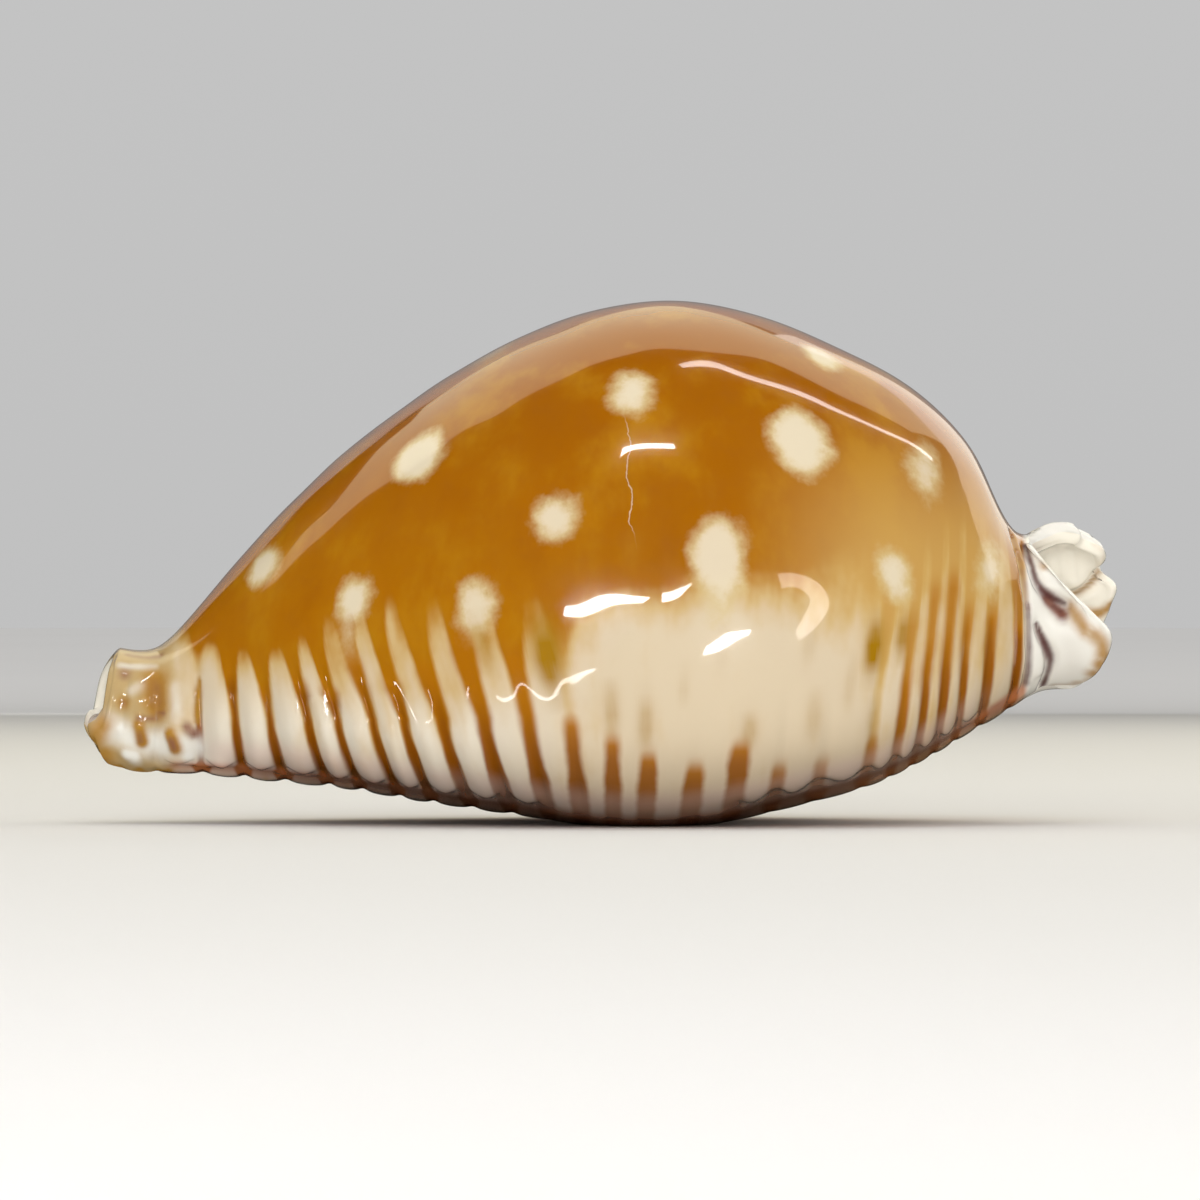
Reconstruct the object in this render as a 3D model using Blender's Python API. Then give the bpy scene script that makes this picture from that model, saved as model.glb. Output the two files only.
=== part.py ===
"""A cowrie shell, hollow and in one piece, resting on the low spot of its base.

X runs along the shell, from the narrow front beak (-X) to the broad rear end (+X). Z is up.
The inner-lip side faces -Y and the outer-lip side faces +Y. The slot of the mouth runs along
the base. Sizes below are written in millimetres, and the mesh is made in metres.

The surface is a row of C-shaped sections. A place on a section is its turn, a number from
0 to 6: 0 to 1 goes round the outer lip, 1 to 2 along the outer half of the base, 2 to 4 over
the back, 4 to 5 along the inner half of the base and 5 to 6 round the inner lip.
"""

import bpy
import numpy as np

MM = 0.001

# The outline seen from the side: (place along the shell, height), in millimetres.
BACK_LINE = [(-30.5, 10.0), (-28.0, 10.15), (-25.6, 10.2), (-24.4, 11.2), (-21.7, 14.3),
             (-17.4, 19.0), (-13.0, 22.85), (-8.7, 25.85), (-2.9, 28.8), (3.6, 30.15),
             (8.6, 29.45), (14.4, 27.1), (18.7, 24.5), (20.6, 22.6), (22.0, 20.4),
             (23.0, 18.1), (23.8, 16.9), (24.6, 16.7), (26.2, 17.4), (28.0, 17.3), (30.5, 16.4)]
BASE_LINE = [(-30.5, 5.0), (-29.0, 3.5), (-25.1, 2.65), (-20.2, 2.45), (-14.5, 1.9),
             (-8.7, 1.0), (-4.5, 0.4), (-1.5, -0.05), (2.2, -0.4), (5.8, -0.15), (8.6, 0.35),
             (11.5, 1.05), (14.4, 1.8), (17.2, 2.9), (20.1, 4.5), (23.0, 6.4), (25.0, 7.5),
             (27.1, 7.7), (28.5, 8.4), (30.5, 10.2)]
# Half of the width, the height of the widest line, and the middle of the section in Y.
HALF_WIDTH = [(-30.5, 3.7), (-28.0, 3.9), (-25.8, 4.2), (-24.0, 4.9), (-21.7, 6.5),
              (-18.8, 8.9), (-15.9, 11.0), (-13.0, 12.8), (-8.7, 15.1), (-2.9, 17.1),
              (3.0, 17.8), (8.6, 17.3), (14.4, 15.3), (18.7, 12.5), (21.6, 9.2),
              (23.0, 7.0), (23.9, 5.6), (25.2, 5.0), (28.0, 5.3), (30.5, 4.6)]
WIDEST_AT = [(-30.5, 6.9), (-24.0, 6.3), (-15.0, 6.1), (-5.0, 6.3), (5.0, 6.6),
             (15.0, 7.6), (20.0, 9.2), (23.5, 11.3), (26.0, 12.2), (30.5, 12.8)]
MIDDLE_Y = [(-30.5, 0.3), (-20.0, 0.2), (0.0, 0.0), (15.0, 0.0), (21.0, -0.4),
            (24.0, -1.0), (30.5, -1.6)]

# The slot of the mouth: the middle line in Y, half of the gap, and the roundness of the lips.
SLOT_Y = [(-30.5, 0.4), (-15.0, 0.8), (5.0, 1.0), (15.0, 0.4), (20.0, -0.5),
          (24.0, -1.5), (30.5, -2.1)]
HALF_GAP = [(-30.5, 1.3), (-20.0, 1.5), (0.0, 1.2), (15.0, 1.3), (24.0, 1.4), (30.5, 1.3)]
OUTER_LIP = [(-30.5, 0.8), (-22.0, 1.1), (0.0, 1.4), (18.0, 1.2), (24.0, 0.9), (30.5, 0.8)]
INNER_LIP = [(-30.5, 0.8), (-22.0, 1.3), (0.0, 2.0), (18.0, 1.6), (24.0, 0.9), (30.5, 0.8)]
# The top of a lip's round is this share of its radius above the skin of the base.
LIP_RISE = 0.85
# The lips stay between these shares of the half width.
LIP_RANGE = (0.02, 0.94)
# Above 1, this brings the turns of the base closer together near the slot.
SLOT_CROWDING = 1.5

# The wall, at the base, at the sides and over the back.
BASE_WALL = [(-30.5, 1.8), (-22.0, 2.6), (0.0, 3.4), (18.0, 3.0), (24.0, 2.0), (30.5, 1.8)]
SIDE_WALL = [(-30.5, 1.1), (-22.0, 1.6), (0.0, 2.3), (18.0, 2.0), (24.0, 1.4), (30.5, 1.2)]
BACK_WALL = [(-30.5, 1.1), (-20.0, 1.3), (0.0, 1.4), (20.0, 1.3), (30.5, 1.2)]

# The grooves between the ribs round the margin: (place along the shell, number of the groove).
# A number with a half is the crest of a rib.
GROOVE_COUNT = [(-28.3, -2.0), (-25.8, -1.0), (-23.3, 0.0), (-16.9, 3.0), (-9.4, 7.0),
                (-2.2, 10.0), (8.3, 14.0), (15.8, 17.0), (20.7, 21.0), (23.0, 23.0),
                (24.2, 24.0)]
GROOVE_DEPTH = [(-28.5, 0.28), (-22.0, 0.55), (-12.0, 0.52), (-3.0, 0.34), (6.0, 0.16),
                (14.0, 0.26), (20.0, 0.36), (24.0, 0.30)]
TOOTH_DEPTH = 0.45
# Heights above the base line between which the grooves of the sides fade out.
GROOVE_TOP = (4.0, 10.0)
# The grooves start behind the front rim, and leave the lowest spot of the base smooth.
GROOVE_START = (-29.0, -27.0)
SMOOTH_BASE = (-0.05, 0.5)
GROOVE_LEAN = [(-28.0, 0.0), (-25.0, 0.0), (-22.0, -0.08), (-16.0, -0.27), (-8.0, -0.32),
               (-2.0, -0.16), (1.0, 0.0), (8.0, 0.16), (18.0, 0.16), (24.2, 0.0)]
LEAN_REACH = 5.0

# The two end rims: (turn round the section, place along the shell).
FRONT_RIM = [(0.0, -28.3), (1.0, -29.5), (1.3, -30.0), (1.6, -29.9), (2.0, -29.4),
             (2.4, -29.0), (3.0, -28.1), (3.5, -28.3), (3.9, -28.5), (4.25, -29.2),
             (4.5, -29.5), (4.8, -29.2), (5.0, -28.9), (6.0, -27.9)]
REAR_RIM = [(0.0, 26.4), (1.0, 27.3), (1.5, 28.7), (1.9, 29.3), (2.1, 29.95), (2.2, 29.7),
            (2.32, 29.0), (2.5, 29.1), (2.65, 28.8), (2.8, 27.5), (2.9, 26.4), (3.05, 24.9),
            (3.4, 24.9), (3.7, 26.1), (3.95, 27.5), (4.12, 28.7), (4.25, 29.15), (4.48, 29.0),
            (4.7, 28.5), (5.0, 27.5), (6.0, 26.3)]
# The end zones, where the sections stretch towards a rim, and how round a rim's edge is.
FRONT_ZONE, REAR_ZONE = -25.0, 24.2
LAST_PLACE = 30.0
RIM_ROUNDING = 0.6

# How far the rear edge of the body stands out at each turn, past where its back ends.
REAR_SHOULDER = [(0.0, 0.0), (1.4, 0.8), (2.0, 1.0), (3.0, 0.0), (4.0, 1.0), (4.6, 0.8),
                 (6.0, 0.0)]
SHOULDER_START = 20.5

# A section is rounder above its widest line and flatter below it.
BACK_POWER, FLAT_POWER = 2.15, 2.6

SHELL_COLOUR = (0.47, 0.22, 0.04, 1.0)
SHELL_ROUGHNESS = 0.12

# The turns at which a section has its points, up to the middle of the back.
LIP_TURNS = [0.0, 0.35, 0.7]
BASE_TURNS = [1.0, 1.15, 1.3, 1.45, 1.6, 1.75, 1.9]
BACK_TURNS = [2.0, 2.1, 2.2, 2.3, 2.4, 2.5, 2.62, 2.74, 2.87]
INNER_TURNS = [0.5, 1.0, 1.3, 1.6, 1.85, 2.1, 2.35, 2.65]
MIDDLE_TURN, LAST_TURN = 3.0, 6.0

# The places of the sections that don't follow the grooves, and the rounding of the rims.
REAR_PLACES = (23.4, 23.8, 24.2, 24.7, 25.4, 26.2, 27.1, 28.0, 28.8, 29.5)
FRONT_PLACE = -29.3
RIM_CLOSINGS = (0.3, 0.6, 0.9)
FIRST_HALF_GROOVE, LAST_HALF_GROOVE = -4, 46


def smooth_line(points):
    """Returns a function that follows a natural cubic spline through the given points."""
    xs, values = np.array(points, dtype=float).T
    gaps = np.diff(xs)
    bends = np.zeros(len(xs))
    system = np.diag(2 * (gaps[:-1] + gaps[1:]))
    system += np.diag(gaps[1:-1], 1) + np.diag(gaps[1:-1], -1)
    bends[1:-1] = np.linalg.solve(system, 6 * np.diff(np.diff(values) / gaps))

    def value_at(x):
        x = np.clip(x, xs[0], xs[-1])
        i = np.clip(np.searchsorted(xs, x) - 1, 0, len(gaps) - 1)
        left, right, gap = x - xs[i], xs[i + 1] - x, gaps[i]
        curved = (bends[i] * right**3 + bends[i + 1] * left**3) / (6 * gap)
        at_left = values[i] / gap - bends[i] * gap / 6
        at_right = values[i + 1] / gap - bends[i + 1] * gap / 6
        return curved + at_left * right + at_right * left

    return value_at


back_line, base_line = smooth_line(BACK_LINE), smooth_line(BASE_LINE)
half_width, widest_at, middle_y = map(smooth_line, (HALF_WIDTH, WIDEST_AT, MIDDLE_Y))
slot_y, half_gap = smooth_line(SLOT_Y), smooth_line(HALF_GAP)
outer_lip, inner_lip = smooth_line(OUTER_LIP), smooth_line(INNER_LIP)
base_wall, side_wall, back_wall = map(smooth_line, (BASE_WALL, SIDE_WALL, BACK_WALL))
place_of_groove = smooth_line([(count, x) for x, count in GROOVE_COUNT])
groove_count, groove_depth = smooth_line(GROOVE_COUNT), smooth_line(GROOVE_DEPTH)
groove_lean = smooth_line(GROOVE_LEAN)
front_rim, rear_rim, rear_shoulder = map(smooth_line, (FRONT_RIM, REAR_RIM, REAR_SHOULDER))


def step(x, start, end):
    """Rises smoothly from 0 at start to 1 at end."""
    t = np.clip((x - start) / (end - start), 0.0, 1.0)
    return t * t * (3 - 2 * t)


def oval(angle, wide, low, high, middle, level):
    """A rounded outline: y and z at an angle from +Y, flatter below its widest level."""
    c, s = np.cos(angle), np.sin(angle)
    power = np.where(s < 0, FLAT_POWER, BACK_POWER)
    y = middle + wide * np.sign(c) * np.abs(c) ** (2 / power)
    drop = np.abs(s) ** (2 / power)
    return y, np.where(s < 0, level - (level - low) * drop, level + (high - level) * drop)


def angle_at(turn, outer_edge, inner_edge):
    """The angle round the oval at a turn from 1 to 5, where the edges are the ends at the slot."""
    near_slot = np.clip(turn - 1, 0, 1) ** SLOT_CROWDING
    far_slot = np.clip(5 - turn, 0, 1) ** SLOT_CROWDING
    angle = np.clip(turn - 2, 0, 2) * np.pi / 2
    angle = np.where(turn < 2, outer_edge * (1 - near_slot), angle)
    return np.where(turn > 4, np.pi + (inner_edge - np.pi) * (1 - far_slot), angle)


def edge_angles(x, wide, middle):
    """The angles at which an oval of this width meets the two lips."""
    outer = (slot_y(x) + half_gap(x) + outer_lip(x) - middle) / wide
    inner = (middle - slot_y(x) + half_gap(x) + inner_lip(x)) / wide
    outer_cos = np.clip(outer, *LIP_RANGE) ** (FLAT_POWER / 2)
    inner_cos = np.clip(inner, *LIP_RANGE) ** (FLAT_POWER / 2)
    return -np.arccos(outer_cos), np.pi + np.arccos(inner_cos)


def section(x, turn, inside):
    """y and z of the outside, or of the inside, of the wall at a place x and a turn."""
    wide, low, high, level = half_width(x), base_line(x), back_line(x), widest_at(x)
    middle = middle_y(x)
    skin_edges = edge_angles(x, wide, middle)
    lip_z = [oval(edge, wide, low, high, middle, level)[1] for edge in skin_edges]
    if inside:
        wide, low, high = wide - side_wall(x), low + base_wall(x), high - back_wall(x)
        edges = edge_angles(x, wide, middle)
    else:
        edges = skin_edges
    y, z = oval(angle_at(turn, *edges), wide, low, high, middle, level)

    for side, edge, radius, lip_floor, quarter in (
            (1, edges[0], outer_lip(x), lip_z[0], turn),
            (-1, edges[1], inner_lip(x), lip_z[1], LAST_TURN - turn)):
        swing = np.clip(quarter, 0, 1) * np.pi / 2
        slot_side_y = slot_y(x) + side * half_gap(x)
        slot_side_z = lip_floor + LIP_RISE * radius
        end_y, end_z = oval(edge, wide, low, high, middle, level)
        on_lip = quarter < 1
        y = np.where(on_lip, end_y + (slot_side_y - end_y) * np.cos(swing), y)
        z = np.where(on_lip, slot_side_z + (end_z - slot_side_z) * np.sin(swing), z)
    return y, z


def outward(x, turn):
    """The direction square to the outside of a section, as y and z, from its slope."""
    reach, smallest = 0.02, 1e-9
    before, after = section(x, turn - reach, False), section(x, turn + reach, False)
    dy, dz = after[0] - before[0], after[1] - before[1]
    length = np.hypot(dy, dz) + smallest
    return dz / length, -dy / length


def groove_strength(x, turn, height):
    """How deep a groove is at this place: strong at the margin and the lips, none on the back."""
    side = groove_depth(x) * (1 - step(height - base_line(x), *GROOVE_TOP))
    under = side * step(base_line(x), *SMOOTH_BASE)
    margin = np.where((turn > 2) & (turn < 4), side, under)
    on_lip = np.maximum(1 - step(turn, 0.5, 1.0), step(turn, 5.0, 5.5))
    return np.maximum(margin, TOOTH_DEPTH * on_lip) * step(x, *GROOVE_START)


def station_x(x, turn):
    """Where a station that stands at x at mid height lies at each turn, and where the solid is.

    The grooves lean, so a station does too. Past the end zones it stretches to the rims.
    """
    high, low, level = back_line(x), base_line(x), widest_at(x)
    rise = np.sin(np.clip(turn - 2, -1, 3) * np.pi / 2)
    rise = np.where(rise > 0, (high - level) * rise, (level - low) * rise)
    leaned = x + groove_lean(x) * LEAN_REACH * np.tanh(rise / LEAN_REACH)
    shoulder = rear_shoulder(turn) * step(leaned, SHOULDER_START, REAR_ZONE)
    if x < FRONT_ZONE:
        part = (x - FRONT_ZONE) / (-LAST_PLACE - FRONT_ZONE)
        leaned = FRONT_ZONE + part * (front_rim(turn) - FRONT_ZONE)
    if x > REAR_ZONE:
        part = (x - REAR_ZONE) / (LAST_PLACE - REAR_ZONE)
        shoulder = rear_shoulder(turn)
        leaned = REAR_ZONE + part * (rear_rim(turn) - shoulder - REAR_ZONE)
    return leaned, leaned + shoulder


def ring(x, depth, closing, turns_out, turns_in):
    """The points of one C-shaped section, out along the skin and back along the inside.

    depth is how much of a groove this station holds, and closing goes from 0 to 1 where the
    wall rounds off at a rim.
    """
    points = []
    for turns, inside in ((turns_out, False), (turns_in[::-1], True)):
        design_x, real_x = station_x(x, turns)
        y, z = section(design_x, turns, inside)
        if not inside:
            ny, nz = outward(design_x, turns)
            dent = depth * groove_strength(design_x, turns, z)
            y, z = y - dent * ny, np.maximum(z, 0.0) - dent * nz
        if closing:
            other_y, other_z = section(design_x, turns, not inside)
            keep = 0.5 + 0.5 * np.cos(closing * np.pi / 2)
            y, z = y * keep + other_y * (1 - keep), z * keep + other_z * (1 - keep)
            tip = RIM_ROUNDING * (1 - np.sin(closing * np.pi / 2)) * np.sign(x)
            real_x = real_x - tip
        points += [(px * MM, py * MM, pz * MM) for px, py, pz in zip(real_x, y, z)]
    return points


def stations():
    """(place, groove depth, closing) of every section, from the front rim to the rear rim."""
    rows = [(-LAST_PLACE, 0.0, closing) for closing in reversed(RIM_CLOSINGS)]
    rows += [(FRONT_PLACE, 0.0, 0.0)]
    for half in range(FIRST_HALF_GROOVE, LAST_HALF_GROOVE + 1):
        rows.append((float(place_of_groove(half / 2)), (half + 1) % 2, 0.0))
    rows += [(x, 0.0, 0.0) for x in REAR_PLACES]
    return rows + [(LAST_PLACE, 0.0, closing) for closing in RIM_CLOSINGS]


def both_halves(turns):
    """Turns of half a section, with the middle of the back and the same on the other half."""
    return np.array(turns + [MIDDLE_TURN] + [LAST_TURN - turn for turn in reversed(turns)])


def rim_faces(start, turns_out, turns_in):
    """Triangles between the outside and the inside of the section whose first point is start."""
    ring_turns = np.concatenate([turns_out, turns_in[::-1]])
    size, out_count = len(ring_turns), len(turns_out)
    faces, out, back = [], 0, size
    while out < out_count - 1 or back > out_count:
        next_out = ring_turns[out + 1] if out < out_count - 1 else np.inf
        next_back = ring_turns[back - 1] if back > out_count else np.inf
        last = start + back % size
        if next_out <= next_back:
            face = (start + out, start + out + 1, last)
            out += 1
        else:
            face = (start + out, start + back - 1, last)
            back -= 1
        if len(set(face)) == 3:
            faces.append(face)
    return faces


def shell_mesh():
    """The whole shell as one closed mesh."""
    turns_out = both_halves(LIP_TURNS + BASE_TURNS + BACK_TURNS)
    turns_in = both_halves(INNER_TURNS)
    rows = [ring(*row, turns_out, turns_in) for row in stations()]
    size = len(rows[0])
    points = [point for row in rows for point in row]
    faces = []
    for row in range(len(rows) - 1):
        for i in range(size):
            j = (i + 1) % size
            faces.append((row * size + i, row * size + j, (row + 1) * size + j,
                          (row + 1) * size + i))
    faces += [face[::-1] for face in rim_faces(0, turns_out, turns_in)]
    faces += rim_faces((len(rows) - 1) * size, turns_out, turns_in)

    mesh = bpy.data.meshes.new("cowrie_shell")
    mesh.from_pydata(points, [], faces)
    mesh.validate()
    return mesh


def shell_material():
    """Polished amber brown, between the dark back and the cream margin."""
    material = bpy.data.materials.new("amber_shell")
    material.use_nodes = True
    shader = material.node_tree.nodes["Principled BSDF"]
    shader.inputs["Base Color"].default_value = SHELL_COLOUR
    shader.inputs["Roughness"].default_value = SHELL_ROUGHNESS
    return material


def main():
    """Empties the file and puts the shell in it."""
    for old in list(bpy.data.objects):
        bpy.data.objects.remove(old, do_unlink=True)
    mesh = shell_mesh()
    mesh.materials.append(shell_material())
    mesh.shade_smooth()
    shell = bpy.data.objects.new("cowrie_shell", mesh)
    bpy.context.scene.collection.objects.link(shell)


main()
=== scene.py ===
"""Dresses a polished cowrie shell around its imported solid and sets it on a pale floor.

X runs along the shell from the front beak (-X) to the rear canal (+X), Z is up, and the
inner-lip side faces -Y. Sizes are in millimetres and become metres in the mesh.

A place on the shell has two numbers: its place along X, and its turn round the section. Turn
0 to 1 goes round the outer lip, 1 to 2 along the outer half of the base, 2 to 4 over the
back, 4 to 5 along the inner half of the base, and 5 to 6 round the inner lip.
"""

from __future__ import annotations

import logging
import math
from dataclasses import dataclass, field
from enum import Enum
from functools import cached_property

import bpy
import numpy as np
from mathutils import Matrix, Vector


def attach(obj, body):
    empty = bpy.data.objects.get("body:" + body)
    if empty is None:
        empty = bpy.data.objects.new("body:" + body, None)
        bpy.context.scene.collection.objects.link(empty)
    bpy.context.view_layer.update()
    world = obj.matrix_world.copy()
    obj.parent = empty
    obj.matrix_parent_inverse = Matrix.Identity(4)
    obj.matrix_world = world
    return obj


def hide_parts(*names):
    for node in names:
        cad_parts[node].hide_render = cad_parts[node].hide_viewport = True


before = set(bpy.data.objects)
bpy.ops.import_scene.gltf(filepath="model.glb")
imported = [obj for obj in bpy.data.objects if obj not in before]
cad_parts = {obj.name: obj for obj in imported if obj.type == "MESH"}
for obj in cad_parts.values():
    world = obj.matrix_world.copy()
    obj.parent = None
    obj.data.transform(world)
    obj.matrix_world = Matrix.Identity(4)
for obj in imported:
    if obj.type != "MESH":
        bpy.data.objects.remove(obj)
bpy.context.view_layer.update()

MM = 0.001
TINY = 1e-9
TOP_TURN = 3.0
SHELL_MIDDLE = 0.013
LOG = logging.getLogger("cowrie")
Array = np.ndarray
Pairs = tuple[tuple[float, float], ...]
Path = tuple[tuple[float, ...], ...]
Runs = tuple[tuple[float, float, int], ...]
Colour = tuple[float, float, float]


class Side(Enum):
    """The two sides of the shell, and the inside of the far one, seen past the rear rim."""

    INNER_LIP = "inner lip"
    OUTER_LIP = "outer lip"
    FAR_WALL = "far wall"


class Stain(Enum):
    """The colours that are laid on the two ends of the shell, each with its own mask. The two dark
    ones are partly painted shade in the rear creases and pit, and the white is painted brighter on
    the inside, as painted light.
    """

    TAN = "tan"
    WHITE = "white"
    OCHRE = "ochre"
    # The two dark tints: the beak's mottles, and in the rear creases and pit partly brown colour
    # and partly painted shade.
    MAUVE_STAIN_AND_SHADE = "mauve_stain_and_shade"
    PLUM_STAIN_AND_SHADE = "plum_stain_and_shade"


def step(x: Array, start: float | Array, end: float | Array) -> Array:
    """Rises from 0 at start to 1 at end along the curve 3t squared less 2t cubed.

    Args:
        x: The values to place on the rise.
        start: Where the rise begins.
        end: Where it is complete. It may lie below start, for a fall.

    Returns:
        A share from 0 to 1 for each value.
    """
    t = np.clip((x - start) / (end - start), 0.0, 1.0)
    return t * t * (3 - 2 * t)


def hump(x: Array, centre: float, reach: float) -> Array:
    """A bell: e to the minus square of the distance from centre over reach."""
    return np.exp(-(((x - centre) / reach) ** 2))


@dataclass(frozen=True)
class Rise:
    """A smooth rise from 0 at its start to 1 at its end, or a fall where its end is lower."""

    start: float
    end: float

    def __call__(self, x: Array) -> Array:
        """The share from 0 to 1 at each value of x."""
        return step(x, self.start, self.end)


@dataclass(frozen=True)
class SmoothLine:
    """A natural cubic spline through given points, level past both ends."""

    points: Pairs

    @cached_property
    def _knots(self) -> tuple[Array, Array, Array, Array]:
        """The points, the gaps between them and the bend at each, solved once."""
        xs, values = np.array(self.points, dtype=float).T
        gaps = np.diff(xs)
        bends = np.zeros(len(xs))
        system = np.diag(2 * (gaps[:-1] + gaps[1:]))
        system += np.diag(gaps[1:-1], 1) + np.diag(gaps[1:-1], -1)
        bends[1:-1] = np.linalg.solve(system, 6 * np.diff(np.diff(values) / gaps))
        return xs, values, gaps, bends

    def __call__(self, x: Array | float) -> Array:
        """The value at x, by the cubic between its two neighbours."""
        xs, values, gaps, bends = self._knots
        x = np.clip(x, xs[0], xs[-1])
        i = np.clip(np.searchsorted(xs, x) - 1, 0, len(gaps) - 1)
        left, right, gap = x - xs[i], xs[i + 1] - x, gaps[i]
        curved = (bends[i] * right**3 + bends[i + 1] * left**3) / (6 * gap)
        at_left = values[i] / gap - bends[i] * gap / 6
        at_right = values[i + 1] / gap - bends[i + 1] * gap / 6
        return curved + at_left * right + at_right * left


def line(*points: tuple[float, float]) -> SmoothLine:
    """A dataclass field that holds a smooth line through these points."""
    return field(default_factory=lambda: SmoothLine(points))


@dataclass(frozen=True)
class ShellForm:
    """The form of the shell: its outlines, its slot, its wall and its two end rims."""

    back: SmoothLine = line(
        (-30.5, 10.0), (-28.0, 10.15), (-25.6, 10.2), (-24.4, 11.2), (-21.7, 14.3),
        (-17.4, 19.0), (-13.0, 22.85), (-8.7, 25.85), (-2.9, 28.8), (3.6, 30.15),
        (8.6, 29.45), (14.4, 27.1), (18.7, 24.5), (20.6, 22.6), (22.0, 20.4),
        (23.0, 18.1), (23.8, 16.9), (24.6, 16.7), (26.2, 17.4), (28.0, 17.3), (30.5, 16.4))
    base: SmoothLine = line(
        (-30.5, 5.0), (-29.0, 3.5), (-25.1, 2.65), (-20.2, 2.45), (-14.5, 1.9),
        (-8.7, 1.0), (-4.5, 0.4), (-1.5, -0.05), (2.2, -0.4), (5.8, -0.15), (8.6, 0.35),
        (11.5, 1.05), (14.4, 1.8), (17.2, 2.9), (20.1, 4.5), (23.0, 6.4), (25.0, 7.5),
        (27.1, 7.7), (28.5, 8.4), (30.5, 10.2))
    half_width: SmoothLine = line(
        (-30.5, 3.7), (-28.0, 3.9), (-25.8, 4.2), (-24.0, 4.9), (-21.7, 6.5),
        (-18.8, 8.9), (-15.9, 11.0), (-13.0, 12.8), (-8.7, 15.1), (-2.9, 17.1),
        (3.0, 17.8), (8.6, 17.3), (14.4, 15.3), (18.7, 12.5), (21.6, 9.2),
        (23.0, 7.0), (23.9, 5.6), (25.2, 5.0), (28.0, 5.3), (30.5, 4.6))
    widest: SmoothLine = line(
        (-30.5, 6.9), (-24.0, 6.3), (-15.0, 6.1), (-5.0, 6.3), (5.0, 6.6),
        (15.0, 7.6), (20.0, 9.2), (23.5, 11.3), (26.0, 12.2), (30.5, 12.8))
    middle: SmoothLine = line(
        (-30.5, 0.3), (-20.0, 0.2), (0.0, 0.0), (15.0, 0.0), (21.0, -0.4),
        (24.0, -1.0), (30.5, -1.6))
    slot: SmoothLine = line(
        (-30.5, 0.4), (-15.0, 0.8), (5.0, 1.0), (15.0, 0.4), (20.0, -0.5),
        (24.0, -1.5), (30.5, -2.1))
    half_gap: SmoothLine = line(
        (-30.5, 1.3), (-20.0, 1.5), (0.0, 1.2), (15.0, 1.3), (24.0, 1.4), (30.5, 1.3))
    outer_lip: SmoothLine = line(
        (-30.5, 0.8), (-22.0, 1.1), (0.0, 1.4), (18.0, 1.2), (24.0, 0.9), (30.5, 0.8))
    inner_lip: SmoothLine = line(
        (-30.5, 0.8), (-22.0, 1.3), (0.0, 2.0), (18.0, 1.6), (24.0, 0.9), (30.5, 0.8))
    base_wall: SmoothLine = line(
        (-30.5, 1.8), (-22.0, 2.6), (0.0, 3.4), (18.0, 3.0), (24.0, 2.0), (30.5, 1.8))
    side_wall: SmoothLine = line(
        (-30.5, 1.1), (-22.0, 1.6), (0.0, 2.3), (18.0, 2.0), (24.0, 1.4), (30.5, 1.2))
    back_wall: SmoothLine = line(
        (-30.5, 1.1), (-20.0, 1.3), (0.0, 1.4), (20.0, 1.3), (30.5, 1.2))
    front_rim: SmoothLine = line(
        (0.0, -28.3), (1.0, -29.5), (1.3, -29.93), (1.6, -29.86), (2.0, -29.4),
        (2.4, -29.0), (3.0, -28.1), (3.5, -28.3), (3.9, -28.5), (4.1, -28.8), (4.25, -29.3),
        (4.45, -29.5), (4.75, -29.2), (5.0, -28.9), (6.0, -27.9))
    rear_rim: SmoothLine = line(
        (0.0, 26.4), (1.0, 27.3), (1.5, 28.7), (1.85, 29.0), (2.0, 29.6), (2.1, 29.88),
        (2.2, 29.75), (2.29, 29.1), (2.38, 28.95), (2.5, 29.2), (2.6, 29.1), (2.68, 28.7),
        (2.75, 27.75), (2.81, 27.7), (2.88, 26.9), (2.96, 25.6), (3.05, 24.9), (3.4, 24.9),
        (3.7, 26.1), (3.95, 27.5), (4.12, 28.7), (4.25, 29.15), (4.48, 29.0), (4.7, 28.5),
        (5.0, 27.4), (6.0, 26.3))
    rear_shoulder: SmoothLine = line(
        (0.0, 0.0), (1.4, 0.8), (2.0, 1.0), (3.0, 0.0), (4.0, 1.0), (4.6, 0.8), (6.0, 0.0))
    lean: SmoothLine = line(
        (-28.0, 0.0), (-25.0, 0.0), (-22.0, -0.08), (-16.0, -0.33), (-11.0, -0.41),
        (-7.0, -0.39), (-3.0, -0.24), (1.0, 0.0), (8.0, 0.16), (18.0, 0.16), (24.2, 0.0))
    lean_reach: float = 5.0
    front_zone: float = -25.0
    shoulder_start: float = 20.5
    rear_zone: float = 24.2
    last_place: float = 30.0
    rim_rounding: float = 0.6
    back_power: float = 2.15
    base_power: float = 2.6
    edge_least: float = 0.02
    edge_most: float = 0.94
    slot_crowding: float = 1.5
    lip_height: float = 0.85
    slope_reach: float = 0.02

    def oval(self, angle: Array, wide: Array, low: Array, high: Array, middle: Array,
             level: Array) -> tuple[Array, Array]:
        """Superellipse: y and z at an angle from +Y, flatter below its widest level.

        Args:
            angle: The angle round the oval, in radians.
            wide: Half of its width.
            low: The height of its lowest point.
            high: The height of its highest point.
            middle: Its middle in Y.
            level: The height at which it is widest.

        Returns:
            y and z of the points.
        """
        c, s = np.cos(angle), np.sin(angle)
        power = np.where(s < 0, self.base_power, self.back_power)
        y = middle + wide * np.sign(c) * np.abs(c) ** (2 / power)
        rise = np.abs(s) ** (2 / power)
        return y, np.where(s < 0, level - (level - low) * rise, level + (high - level) * rise)

    def edge_angles(self, x: Array, wide: Array) -> tuple[Array, Array]:
        """The angles at which an oval of this half width meets the two lips at x."""
        off_middle = self.slot(x) - self.middle(x)
        cosines = []
        for side, lip in ((1, self.outer_lip), (-1, self.inner_lip)):
            share = (side * off_middle + self.half_gap(x) + lip(x)) / wide
            share = np.clip(share, self.edge_least, self.edge_most)
            cosines.append(share ** (self.base_power / 2))
        return -np.arccos(cosines[0]), np.pi + np.arccos(cosines[1])

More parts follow.
